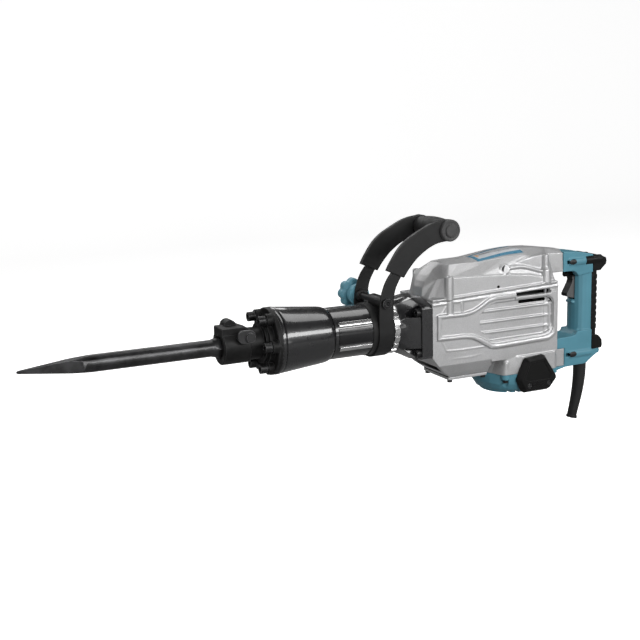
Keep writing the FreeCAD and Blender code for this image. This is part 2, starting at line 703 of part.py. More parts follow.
# tube round the clamp bolt, seated on the clamp liner
saddle = cylinder("saddle_tube", (clamp_x, strap_in, clamp_z), 13.0, strap_in * 2, V(0, -1, 0))
seat = cylinder("saddle_seat", (240.0, 0.0, 0.0), strap_in, 90.0, V(1, 0, 0))
bolt_hole = cylinder("saddle_hole", (clamp_x, 60.0, clamp_z), clamp_bolt_rad + 0.1, 120.0,
                     V(0, -1, 0))
seated = cut("saddle_seated", saddle, seat)
add_part(cut("saddle_bored", seated, bolt_hole), "clamp_saddle")

body = Body("clamp_bolt")
body.pad("XZ", [circle(clamp_x, clamp_z, 8.5)], strap_out, 6.0)
body.pocket("XZ", [hexagon(clamp_x, clamp_z, 8.0)], strap_out + 6.0, 4.0)
body.pad("XZ", [circle(clamp_x, clamp_z, clamp_bolt_rad)], -82.0, 82.0 + strap_out)

# knob on the +Y side: eight soft lobes, waist and collar
body = Body("clamp_knob")
LOBE_DEPTH = 1.3      # half the height of a lobe
knob_points = []
for k in range(64):
    turn = 2 * PI * k / 64
    radius = num(dim.knob_rad) - LOBE_DEPTH + LOBE_DEPTH * math.cos(8 * turn)
    knob_points.append((num(clamp_x) + radius * math.cos(turn),
                        num(clamp_z) + radius * math.sin(turn)))
body.pad("XZ", [poly(knob_points)], -88.0, 20.0)
body.pad("XZ", [circle(clamp_x, clamp_z, 15.0)], -69.0, 8.0)
body.pad("XZ", [circle(clamp_x, clamp_z, 20.0)], -62.0, 12.3)
body.bore("XZ", [circle(clamp_x, clamp_z, clamp_bolt_rad + 0.05)], -84.0, 40.0)

# ================================================================ front handle: arms and grip
grip_x = dim.grip_x
grip_z = dim.grip_z
grip_rod_rad = dim.grip_rod_rad
# (x, z), up the front edge, round the grip rod and back along the lower edge
WIDE_ARM = [
    (286.5, 106.5), (291.5, 116.0), (300.0, 128.8), (308.5, 140.5), (318.0, 150.0),
    (328.0, 157.6), (339.0, 163.8), (354.0, 171.5), (370.5, 178.8), (385.0, 182.6),
    (400.0, 184.5), (409.0, 185.0), (418.0, 183.0), (425.0, 176.5), (428.0, 168.0),
    (427.0, 159.0), (421.0, 151.5), (412.0, 148.0), (397.0, 147.0), (383.0, 144.5),
    (370.0, 139.3), (361.0, 134.2), (352.4, 128.4), (343.0, 120.8), (334.7, 112.2),
    (326.5, 102.4), (319.2, 92.0),
]
# channel that takes the strap's narrow arm
channel = [(270.0, 60.0)] + NARROW_ARM[3:12]
# the arm labelled right lies on the -Y side
for label, start, channel_start in (("front_arm_right", 44.0, strap_in),
                                    ("front_arm_left", -52.0, -strap_out)):
    body = Body(label)
    body.pad("XZ", [poly(WIDE_ARM)], start, 8.0)
    body.bore("XZ", [poly(channel)], channel_start, strap_thick)
    body.pocket_mid("XZ", [circle(grip_x, grip_z, grip_rod_rad)], 130.0)

body = Body("grip_rod")
body.pad("XZ", [circle(grip_x, grip_z, grip_rod_rad)], -55.0, 110.0)

# barrel shaped grip, spun about Y and moved onto the rod
body = Body("front_grip")
# distance from the middle, radius
GRIP = [(0.0, 19.8), (12.0, 19.5), (24.0, 18.8), (36.0, 17.6), (42.5, 17.0), (43.9, 15.5)]
grip_profile = [(radius, -y) for y, radius in GRIP[:0:-1]] + [(radius, y) for y, radius in GRIP]
body.spin([(grip_rod_rad, -43.9)] + grip_profile + [(grip_rod_rad, 43.9)], "XY", "V_Axis")
place(body.body, (grip_x, 0.0, grip_z))

body = Body("grip_end_caps")
cap_rad = dim.cap_rad
# radius, distance from the middle of the grip
CAP = [(0.0, 55.0), (0.0, 61.0), (9.5, 61.0), (11.0, 60.0), (11.2, 58.0), (13.0, 57.4),
       (16.2, 58.4), (cap_rad - 1, 57.4), (cap_rad, 55.5), (cap_rad, 52.0),
       (grip_rod_rad, 52.0), (grip_rod_rad, 55.0)]
for side in SIDES:
    body.spin([(radius, side * y) for radius, y in CAP], "XY", "V_Axis")
place(body.body, (grip_x, 0.0, grip_z))

# ================================================================ main housing
body = Body("main_housing")
house_rear = dim.house_rear
body.pad_mid("XZ", [poly([
    (joint_x, dim.split_front), (house_rear, dim.split_rear), (house_rear, -75.0),
    (492.0, -75.0), (492.0, crank_low), (412.0, crank_low), (396.0, -84.0), (382.0, -70.0),
    (joint_x, -55.0)])], dim.wall_half * 2)
motor_rad = dim.motor_rad
body.pad("XY", [circle(motor_x, 0.0, motor_rad)], tail_top, 32.0)
body.pad("XY", [poly([(motor_x, -motor_rad), (627.0, -motor_rad), (635.0, -54.0),
                      (635.0, 54.0), (627.0, motor_rad), (motor_x, motor_rad)])],
         tail_top, 32.0)
# raised frame on both sides, its recess and the louvre field in that; all (x, z)
FRAME = [
    (379.0, 21.0), (430.0, 20.6), (450.0, 23.0), (464.0, 29.0), (482.0, 40.0), (494.0, 43.0),
    (612.0, 45.0), (626.0, 40.0), (630.0, 30.0), (630.0, -30.0), (624.0, -44.0),
    (612.0, -48.0), (500.0, -51.0), (487.0, -49.0), (466.0, -36.0), (450.0, -27.5),
    (432.0, -25.0), (379.0, -23.0),
]
RECESS = [
    (386.0, 16.0), (438.0, 15.0), (452.0, 18.0), (466.0, 24.0), (486.0, 35.0), (498.0, 37.0),
    (540.0, 37.5), (540.0, 33.0), (610.0, 34.0), (620.0, 28.0), (622.5, 20.0),
    (622.5, -26.0), (617.0, -36.0), (605.0, -40.0), (502.0, -43.0), (490.0, -41.0),
    (470.0, -29.0), (452.0, -21.0), (436.0, -19.0), (386.0, -18.0),
]
LOUVRE_FIELD = [
    (487.5, 29.0), (466.0, 13.0), (466.0, -14.0), (489.5, -37.0), (604.0, -36.0),
    (617.0, -30.0), (621.5, -22.0), (621.5, 19.0), (617.0, 28.0), (607.0, 32.0),
    (498.0, 31.0),
]
body.pad_mid("XZ", [poly(FRAME)], dim.ridge_half * 2)
for side in SIDES:
    body.cut_out(side, [poly(RECESS)], 60.0, 6.0)
for side in SIDES:
    body.cut_out(side, [poly(LOUVRE_FIELD)], 54.0, 8.0)
# three level slats and an upright one
for side in SIDES:
    for front, low, high in ((474.0, 15.5, 19.0), (467.0, -4.5, -1.0), (474.0, -23.5, -20.0)):
        body.pad_out(side, [rect(front, low, 621.0, high)], 53.5, 3.2)
    body.pad_out(side, [rect(606.0, -34.0, 613.0, 31.0)], 53.5, 2.2)
# front corner screw bosses under the split
body.pad("XY", circles(cover_front_places, 8.0), 20.0, 24.4)
# lug that carries the rear handle's lower arm
body.pad("XY", [rect(620.0, -24.0, 676.5, 24.0)], -113.0, 33.0)
# bosses for the tail cover screws
body.pad("XY", circles(tail_places, 7.0), tail_top, 24.0)
# crankcase underside narrows to its cover
UNDERSIDE_CORNER = [(64.0, -60.0), (64.0, -101.0), (42.0, -101.0), (50.0, -88.0), (59.2, -70.0)]
body.bore("YZ", [poly([(side * y, z) for y, z in UNDERSIDE_CORNER]) for side in SIDES],
          joint_x - 5, 127.0)
# crank chamber, piston bore, motor bore and bearing seats
body.pocket("XY", [rect(386.0, -44.0, 482.0, 44.0)], dim.deck_low, 112.0)
body.pocket("XY", [rect(420.0, -34.0, 484.0, 34.0)], -80.0, 30.0)
body.bore("YZ", [circle(0.0, 0.0, 32.0)], joint_x - 1, 24.0)
body.pocket("XY", [circle(motor_x, 0.0, dim.stator_rad + 0.5)], dim.deck_low, 160.0)
body.pocket("XY", [circle(crank_x, 0.0, 26.0)], 60.0, 40.0)
body.pocket("XY", [circle(inter_x, 0.0, 17.5)], 60.0, 18.0)
body.pocket("XY", [circle(motor_x, 0.0, 17.5)], 60.0, 40.0)
# air ducts beside the motor and their side windows
for side in SIDES:
    body.pocket("XY", [rect(540.0, side * 36.0, 618.0, side * 49.0)], 46.0, 30.0)
    body.cut_out(side, [rect(541.5, 38.5, 616.5, 45.5)], 48.0, 20.0)
    body.cut_out(side, [rect(551.5, 24.0, 607.5, 29.2)], 48.0, 20.0)
# cored corners in front of and behind the motor
for side in SIDES:
    body.pocket("XY", [rect(486.0, side * 24.0, 506.0, side * 49.0)], 60.0, 146.0)
    body.pocket("XY", [rect(606.0, side * 28.0, 628.0, side * 43.0)], 60.0, 148.0)
body.pocket("XY", [rect(614.0, -22.0, 628.0, 22.0)], 60.0, 136.0)
# slots for the brush holders
for side in SIDES:
    body.cut_out(side, [rect(motor_x - 9.2, tail_top - 6, motor_x + 9.2, -91.8)], 48.0, 20.0)
# screw holes
body.bore("YZ", circles(flange_places, 5.0), joint_x - 1, 24.0)
body.pocket("XY", circles(cover_front_places + cover_rear_places, 3.0), 54.0, 30.0)
body.bore("XY", circles(crankcase_places, 2.5), -97.0, 12.0)
body.bore("XY", circles(tail_places, 2.5), tail_top - 1, 19.0)

# ================================================================ gear cover
body = Body("gear_cover")
split_front = num(dim.split_front)
split_slope = (num(dim.split_rear) - split_front) / (num(house_rear) - num(joint_x))
# x, base half width, shoulder (half width, z), ridge (half width, z), crown z
GEAR_COVER = [
    (371.0, 57.0, 54.0, 60.0, 37.0, 67.0, 68.0),
    (384.0, 58.0, 56.0, 80.0, 37.0, 91.0, 92.0),
    (397.0, 58.0, 56.5, 84.0, 37.0, 99.5, 100.5),
    (418.0, 58.0, 57.0, 84.0, 36.0, 104.5, 106.0),
    (470.0, 58.0, 57.0, 81.5, 37.0, 104.0, 108.0),
    (530.0, 58.0, 57.0, 79.0, 39.0, 108.0, 116.0),
    (575.0, 58.0, 57.0, 74.5, 40.0, 108.0, 118.5),
    (608.0, 58.0, 56.5, 67.0, 38.0, 102.0, 117.5),
    (634.5, 57.0, 54.5, 61.0, 30.0, 98.0, 113.5),
]
sections = []
for x, base, shoulder, shoulder_z, ridge, ridge_z, crown_z in GEAR_COVER:
    split_z = split_front + (x - num(joint_x)) * split_slope
    sections.append((x, mirror_first([(base, split_z), (shoulder, shoulder_z),
                                      (ridge, ridge_z), (ridge * 0.45, crown_z)])))
body.loft("YZ", sections)
# rear spine that meets the handle's upper arm
body.loft("YZ", [(620.0, mirror_first([(12.0, 114.0), (25.0, 104.0), (26.0, 66.5)])),
                 (671.0, mirror_first([(12.0, 108.0), (23.0, 101.0), (25.0, 66.5)]))])
# screw bosses, front and rear
body.pad("XY", circles(cover_front_places, 8.0), 46.5, 39.5)
body.pad("XY", circles(cover_rear_places, 10.5), 53.5, 29.0)
body.pad("XY", circles(pair(611.0, 50.0), 6.5), 60.0, 47.0)
# ridge from the plug boss back to the rear boss, both sides; (x, z)
SIDE_RIDGE = [(527.0, 79.0), (527.0, 90.0), (540.0, 91.0), (556.0, 91.5), (575.0, 89.5),
              (592.0, 85.0), (611.0, 78.0), (611.0, 70.0), (575.0, 76.0)]
for side in SIDES:
    body.pad_out(side, [poly(SIDE_RIDGE)], 30.0, 22.0)
# gear chamber: round over the crank gear, then out to the motor pinion
body.bore("XY", [circle(crank_x, 0.0, 53.6)], 40.0, 24.5)
body.bore("XY", [poly([(462.0, -44.0), (556.0, -44.0), (578.0, -24.0), (578.0, 24.0),
                       (556.0, 44.0), (462.0, 44.0)])], 40.0, 39.0)
body.bore("XY", [circle(inter_x, 0.0, 17.5)], 70.0, 18.0)
# the casting is hollow all round above the joint plane
body.bore("XY", [poly([(392.0, -46.0), (600.0, -46.0), (622.0, -38.0), (622.0, 38.0),
                       (600.0, 46.0), (392.0, 46.0)])], 40.0, 34.0)
# dimple with a thin groove in front of it, both sides
for side in SIDES:
    body.cut_out(side, [circle(507.0, 58.5, 2.2)], 54.0, 10.0)
    body.cut_out(side, [poly([(482.0, 56.2), (504.0, 57.4), (504.0, 59.0), (482.0, 57.8)])],
                 56.9, 10.0)
# screw holes and counterbores
body.bore("XY", circles(cover_front_places, 3.2), 40.0, 60.0)
body.bore("XY", circles(cover_front_places, 5.6), 80.0, 20.0)
body.bore("XY", circles(cover_rear_places, 3.2), 40.0, 80.0)
body.bore("XY", circles(cover_rear_places, 5.3), 100.0, 20.0)
# stepped plug bores on both sides
PLUG = (524.0, 88.5)  # (x, z)
for side in SIDES:
    body.cut_out(side, [circle(*PLUG, 5.0)], 40.0, 20.0)
    body.cut_out(side, [circle(*PLUG, 7.6)], 48.0, 20.0)

body = Body("grease_plug")
for side in SIDES:
    body.pad_out(side, [circle(*PLUG, 5.0)], 40.0, 8.0)
    body.pad_out(side, [circle(*PLUG, 7.6)], 48.0, 6.0)

body = Body("cover_screws")
body.pad("XY", circles(cover_front_places, 5.4), 80.0, 5.0)
body.pad("XY", circles(cover_front_places, 3.0), 26.0, 54.0)
body.pad("XY", circles(cover_rear_places, 5.1), 100.0, 6.0)
body.pad("XY", circles(cover_rear_places, 3.0), 26.0, 74.0)
body.pocket("XY", hexagons(cover_front_places, 4.0), 85.0, 3.0)
body.pocket("XY", hexagons(cover_rear_places, 4.0), 106.0, 3.0)

# ================================================================ crankcase bottom cover
cover_plan = rect(411.0, -43.5, 491.0, 43.5)

body = Body("crankcase_gasket")
body.pad("XY", [cover_plan, rect(421.0, -33.0, 483.0, 33.0)] + circles(crankcase_places, 2.6),
         crank_low - 0.9, 0.9)

body = Body("crankcase_cover")
body.pad("XY", [cover_plan], crank_low - 6.0, 5.1)
body.pocket("XY", circles(crankcase_places, 2.55), crank_low, 8.0)

body = Body("crankcase_cover_screws")
body.pad("XY", circles(crankcase_places, 4.5), crank_low - 10.5, 4.5)
body.pad("XY", circles(crankcase_places, 2.5), crank_low - 6.0, 16.0)

# ================================================================ tail cover under the motor
body = Body("tail_cover")
tail_low = dim.tail_low
# plan: half circle in front, then the squarer rear
front_angles = [PI / 2 + PI * i / 12 for i in range(13)]
tail_plan = [(num(motor_x) + 63.5 * math.cos(a), 63.5 * math.sin(a)) for a in front_angles]
tail_plan += mirror_second([(606.0, -63.5), (622.0, -61.0), (635.5, -51.0), (638.0, -40.0)])


def scaled_plan(scale, shift=0.0):
    """The plan scaled about (572, 0) and moved to the rear."""
    return [(572.0 + (x - 572.0) * scale + shift, y * scale) for x, y in tail_plan]


full_plan = scaled_plan(1.0)
middle_plan = scaled_plan(0.90, 1.0)
bottom_plan = scaled_plan(0.80, 2.0)
body.loft("XY", [(tail_top - 18.0, full_plan), (tail_top, full_plan)])
body.loft("XY", [(tail_top - 31.0, middle_plan), (tail_top - 18.0, full_plan)])
body.loft("XY", [(tail_low + 3.0, bottom_plan), (tail_top - 31.0, middle_plan)])
body.pad("XY", [poly(bottom_plan)], tail_low, 3.0)
# hollow for the motor's end and its lower bearing
body.pocket("XY", [circle(motor_x, 0.0, 49.0)], tail_top, 20.0)
body.pocket("XY", [circle(motor_x, 0.0, 17.5)], tail_top, 30.0)
# cooling louvres across the underside
for i in range(7):
    x = 536.0 + i * 13.5
    body.pocket_mid("XZ", [poly([(x, -143.0), (x + 6.0, -143.0), (x + 6.0, -137.5),
                                 (x, -139.5)])], 130.0)
# flats under the brush covers, brush holder slots and brush cover screw holes
for side in SIDES:
    body.cut_out(side, [rect(540.0, -150.0, 626.0, tail_top + 1)], 61.9, 10.0)
    body.cut_out(side, [rect(motor_x - 9.2, -111.0, motor_x + 9.2, tail_top + 2)], 40.0, 30.0)
    body.cut_out(side, circles(brush_places, 2.05), 50.0, 20.0)
# notch round the housing's lug
body.bore("XY", [rect(619.0, -24.0, 660.0, 24.0)], -113.0, 20.0)
# screw bosses, head recesses and holes
body.pad("XY", circles(tail_places, 7.5), tail_top - 9.0, 9.0)
body.pocket("XY", circles(tail_places, 6.2), tail_top - 9.0, 30.0)
body.pocket("XY", circles(tail_places, 2.6), tail_top, 12.0)

body = Body("tail_screws")
body.pad("XY", circles(tail_places, 4.6), tail_top - 15.0, 6.0)
body.bore("XY", hexagons(tail_places, 4.0), tail_top - 15.0, 3.0)
body.pad("XY", circles(tail_places, 2.5), tail_top - 9.0, 25.0)

# ================================================================ brush covers, both sides
body = Body("brush_covers")
# (x, z) of the base outline, the smaller outer face and the recess in that face
BRUSH_BASE = [
    (559.5, -76.0), (596.0, -72.5), (601.0, -75.5), (626.0, -114.0), (625.5, -119.5),
    (610.5, -137.5), (606.0, -139.5), (556.0, -139.5), (551.5, -137.0), (541.0, -117.5),
    (541.0, -112.5), (556.0, -79.0),
]
BRUSH_FACE = [
    (562.5, -80.5), (595.0, -77.5), (598.0, -79.5), (620.5, -114.5), (620.0, -118.5),
    (607.0, -133.5), (603.5, -135.0), (559.0, -135.0), (556.0, -133.0), (547.0, -117.0),
    (547.0, -113.5), (560.0, -83.0),
]
BRUSH_RECESS = [(564.5, -84.0), (593.5, -82.0), (611.0, -110.0), (607.0, -117.5),
                (563.0, -117.5), (553.5, -113.0)]
for side in SIDES:
    body.loft("XZ", [(-side * 62.0, BRUSH_BASE), (-side * 66.0, BRUSH_BASE)])
for side in SIDES:
    body.loft("XZ", [(-side * 66.0, BRUSH_BASE), (-side * 75.0, BRUSH_FACE)])
for side in SIDES:
    body.cut_out(side, [poly(BRUSH_RECESS)], 73.6, 4.0)
    body.cut_out(side, circles(brush_places, 5.0), 71.0, 8.0)
    body.cut_out(side, circles(brush_places, 2.1), 60.0, 20.0)

# cross slotted screws
body = Body("brush_cover_screws")
for side in SIDES:
    body.pad_out(side, circles(brush_places, 4.4), 71.0, 3.0)
    body.pad_out(side, circles(brush_places, 2.05), 56.0, 15.0)
    for half_x, half_z in ((3.4, 0.6), (0.6, 3.4)):
        body.cut_out(side, [rect(x - half_x, z - half_z, x + half_x, z + half_z)
                            for x, z in brush_places], 72.6, 4.0)

# ================================================================ rear D handle
column_split = dim.column_split
column_front = dim.column_front
arm_half = dim.arm_half
arm_width = dim.arm_wide * 2

body = Body("handle_front_shell")
# upper arm; (x, z)
body.pad_mid("XZ", [poly([
    (671.3, 66.0), (671.3, 104.0), (686.0, 102.8), (704.0, 101.0), (724.0, 97.5),
    (column_split, 94.0), (column_split, 60.0), (column_front, 56.0), (701.5, 62.5),
    (694.0, 66.0)])], arm_width)
# lower arm, wrapping over and under the housing's lug; (x, z)
body.pad_mid("XZ", [poly([
    (637.0, -62.5), (648.0, -60.5), (668.0, -59.0), (696.0, -58.0), (703.0, -56.0),
    (column_front, -50.0), (column_split, -50.0), (column_split, -88.2), (756.5, -88.2),
    (758.5, -91.0), (758.0, -95.0), (741.0, -105.0), (734.0, -109.5), (729.0, -113.5),
    (722.0, -115.5), (700.0, -115.5), (678.0, -116.5), (660.0, -120.5), (648.0, -126.0),
    (639.0, -127.5), (639.0, -113.3), (677.0, -113.3), (677.0, -79.7), (639.0, -79.7)])],
    arm_width)
# grip column with rounded front; (x, y)
body.pad("XY", [poly(mirror_second([
    (column_split, -arm_half), (727.0, -arm_half), (719.0, -21.0), (713.0, -17.0),
    (709.0, -11.0), (706.5, -4.0)]))], -52.0, 114.0)
# half round screw ridges along both arms
for top, low in zip(handle_top_places, handle_low_places):
    body.pad("YZ", [circle(*top, 8.6)], 684.0, 55.5)
    body.bore("YZ", [circle(*top, 8.7)], 722.0, 17.5)
    body.pad("YZ", [circle(*low, 5.2)], 688.0, 70.0)
    body.pad("YZ", [circle(*low, 8.6)], 688.0, 51.5)
# screws enter these recesses from the front
for places in zip(handle_top_places, handle_low_places):
    body.bore("YZ", circles(places, 5.6), 680.0, 18.0)
    body.bore("YZ", circles(places, 2.1), 690.0, 64.0)
# hollow for switch and trigger, and the cord guard's socket
body.pocket("YZ", [rect(-12.0, -2.0, 12.0, 70.0)], column_split, 29.0)
body.pocket("YZ", [rect(-9.5, 9.0, 9.5, 62.5)], 714.0, 20.0)
body.bore("XY", [circle(731.0, 0.0, 12.4)], -120.0, 12.0)

body = Body("handle_rear_cover")
# upper and lower ends; (x, z)
body.pad_mid("XZ", [poly([
    (column_split, 62.0), (column_split, 95.0), (752.0, 91.5), (762.0, 88.5), (768.5, 85.5),
    (770.0, 80.0), (769.0, 73.5), (761.0, 67.0), (756.0, 62.0)])], arm_width + 3)
body.pad_mid("XZ", [poly([
    (column_split, -60.0), (753.0, -62.0), (758.5, -66.5), (763.0, -73.0), (763.5, -83.0),
    (762.0, -88.0), (column_split, -88.0)])], arm_width + 3)
# round shoulders that reach forwards over the upper arm's screw ridges
for top in handle_top_places:
    body.pad("YZ", [circle(*top, 8.6)], 722.1, 38.0)
# rear half of the grip column, with nine raised bands; (x, y)
rear_column = mirror_second([
    (num(column_split), -21.6), (748.0, -20.8), (754.5, -17.0), (759.0, -10.0),
    (num(dim.column_rear), -4.0)])
band = [(x + (1.3 if x > 744 else 0.0), y * 1.02) for x, y in rear_column]
body.pad("XY", [poly(rear_column)], -62.0, 125.0)
for i in range(9):
    body.pad("XY", [poly(band)], -50.0 + i * 12.0, 7.0)
body.bore("YZ", circles(handle_top_places, 2.05), 721.0, 32.0)

body = Body("handle_screws")
body.pad("YZ", circles(handle_places, 5.0), 692.0, 6.0)
body.pad("YZ", circles(handle_places, 2.0), 698.0, 54.0)
body.bore("YZ", hexagons(handle_places, 4.0), 692.0, 3.0)

# trigger, with the edges of its two side faces rounded in front of x = 708
body = Body("trigger")
TRIGGER_WIDTH = 18.0
body.pad_mid("XZ", [poly([
    (710.5, 52.5), (705.0, 47.0), (691.5, 20.5), (692.0, 17.0), (703.0, 10.5),
    (707.0, 13.0), (713.5, 24.0), (713.5, 52.5)])], TRIGGER_WIDTH)


def on_trigger_side(edge):
    box = edge.BoundBox
    return (box.YLength < 0.1 and abs(abs(box.YMin) - TRIGGER_WIDTH / 2) < 0.01
            and box.XMin < 708)


side_edges = ["Edge%d" % n for n, edge in enumerate(body.tip.Shape.Edges, 1)
              if on_trigger_side(edge)]
rounding = body.body.newObject("PartDesign::Fillet", "Rounding")
rounding.Base = (body.tip, side_edges)
rounding.Radius = 1.2

# lock button above the trigger
body = Body("lock_button")
body.pad("YZ", [circle(0.0, 57.0, 5.0)], 691.5, 6.0)
body.pad("YZ", [circle(0.0, 57.0, 3.4)], 697.5, 16.0)

body = Body("switch_body")
body.pad_mid("XZ", [rect(722.0, 0.0, 739.0, 62.0)], 23.0)

# ================================================================ cord guard
# bent tapered sleeve, open for the cord
guard_rad = num(dim.guard_rad)
cord_rad = num(dim.cord_rad)
# x, z, outer radius, from the handle down
GUARD_PATH = [
    (731.0, -109.0, guard_rad), (731.6, -122.0, guard_rad), (730.8, -145.0, 11.7),
    (727.6, -170.0, 10.9), (723.0, -192.0, 10.0), (717.6, -213.0, 9.3), (714.6, -226.3, 9.0),
]
EXIT = (-0.2200, -0.9755)      # (x, z) direction of the cord as it leaves


def smooth(path, steps=4):
    """Catmull-Rom samples through the path's points."""
    samples = []
    last = len(path) - 1
    for i in range(last):
        around = (path[max(0, i - 1)], path[i], path[i + 1], path[min(last, i + 2)])
        for k in range(steps):
            t = k / float(steps)
            samples.append(tuple(
                0.5 * (2 * b + (c - a) * t + (2 * a - 5 * b + 4 * c - d) * t * t
                       + (3 * b - a - 3 * c + d) * t ** 3)
                for a, b, c, d in zip(*around)))
    samples.append(path[-1])
    return samples


def sleeve(path):
    """Loft through circles square to the path, all with their seams on the same side."""
    wires = []
    last = len(path) - 1
    for i, (x, z, radius) in enumerate(path):
        if i == 0:
            dx, dz = 0.0, -1.0
        elif i == last:
            dx, dz = EXIT
        else:
            dx = path[i + 1][0] - path[i - 1][0]
            dz = path[i + 1][1] - path[i - 1][1]
        wire = Part.Wire([Part.Circle(V(0, 0, 0), V(0, 0, 1), radius).toShape()])
        wire.rotate(V(0, 0, 0), V(0, 1, 0), math.degrees(math.atan2(dx, dz)))
        wire.translate(V(x, 0, z))
        wires.append(wire)
    return Part.makeLoft(wires, True, True)


path = smooth(GUARD_PATH)
exit_axis = V(EXIT[0], 0, EXIT[1])
guard_end = V(GUARD_PATH[-1][0], 0, GUARD_PATH[-1][1])
straight_start = guard_end - exit_axis * 20.0
guard = sleeve(path)
guard = guard.fuse(Part.makeCylinder(10.4, 5.0, guard_end - exit_axis * 5.0, exit_axis))
# the cord's bore follows the bend, then runs straight out through the end
cord_path = [(x, z, cord_rad) for x, z, radius in path if z > -204.0]
cord_path[0] = (cord_path[0][0], cord_path[0][1] + 3.0, cord_rad)
cord_path.append((straight_start.x, straight_start.z, cord_rad))
guard = guard.cut(sleeve(cord_path))
guard = guard.cut(Part.makeCylinder(cord_rad, 24.0, straight_start, exit_axis))
shape_part("cord_guard", guard)

# ---------------------------------------------------------------- state check and files
doc.recompute()
failed = [o.Name for o in doc.Objects if "Invalid" in o.State or "Error" in o.State]
if failed:
    raise RuntimeError("failed objects: " + ", ".join(failed))
for part in parts:
    shape = part.Shape
    if shape.isNull() or not shape.isValid() or not shape.Solids:
        raise RuntimeError("bad shape: " + part.Label)
os.makedirs("parts", exist_ok=True)
for part in parts:
    part.Shape.exportStep("parts/" + part.Label + ".step")
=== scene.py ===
"""Hand-held power hammer with a D handle at the rear and a clamped handle at the front.

The tool lies along X with its nose at low X and Z up; the X axis is its working axis.
Visible castings and mouldings are remodelled in millimetres and written out in metres.
Materials work in metres.
"""
import bpy
import bmesh
import math
import json
from mathutils import Vector, Matrix


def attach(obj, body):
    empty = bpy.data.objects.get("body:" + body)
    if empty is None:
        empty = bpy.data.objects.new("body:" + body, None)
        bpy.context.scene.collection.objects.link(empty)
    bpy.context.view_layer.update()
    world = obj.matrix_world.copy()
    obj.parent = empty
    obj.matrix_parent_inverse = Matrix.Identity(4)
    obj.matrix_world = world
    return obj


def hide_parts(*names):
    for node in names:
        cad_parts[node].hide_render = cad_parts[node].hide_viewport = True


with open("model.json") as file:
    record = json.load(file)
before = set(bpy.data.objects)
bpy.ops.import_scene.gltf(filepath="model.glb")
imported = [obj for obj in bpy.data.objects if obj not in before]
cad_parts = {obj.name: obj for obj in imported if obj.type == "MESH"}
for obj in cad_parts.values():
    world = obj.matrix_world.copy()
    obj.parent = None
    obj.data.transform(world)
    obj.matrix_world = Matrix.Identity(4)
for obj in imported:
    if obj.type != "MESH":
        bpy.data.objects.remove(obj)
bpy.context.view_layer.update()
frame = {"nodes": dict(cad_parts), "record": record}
NODES = frame["nodes"]
scene = bpy.context.scene
mm = 0.001
SIDES = (-1, 1)     # signs of Y


# ------------------------------------------------------------------ material builder
def grey(level, blue=1.0):
    return (level, level, level * blue)


def scaled(color, factor, lift=0.0):
    return tuple(channel * factor + lift for channel in color)


def math_node(tree, operation, values):
    node = tree.nodes.new("ShaderNodeMath")
    node.operation = operation
    for socket, value in zip(node.inputs, values):
        if isinstance(value, (int, float)):
            socket.default_value = value
        else:
            tree.links.new(value, socket)
    return node.outputs[0]


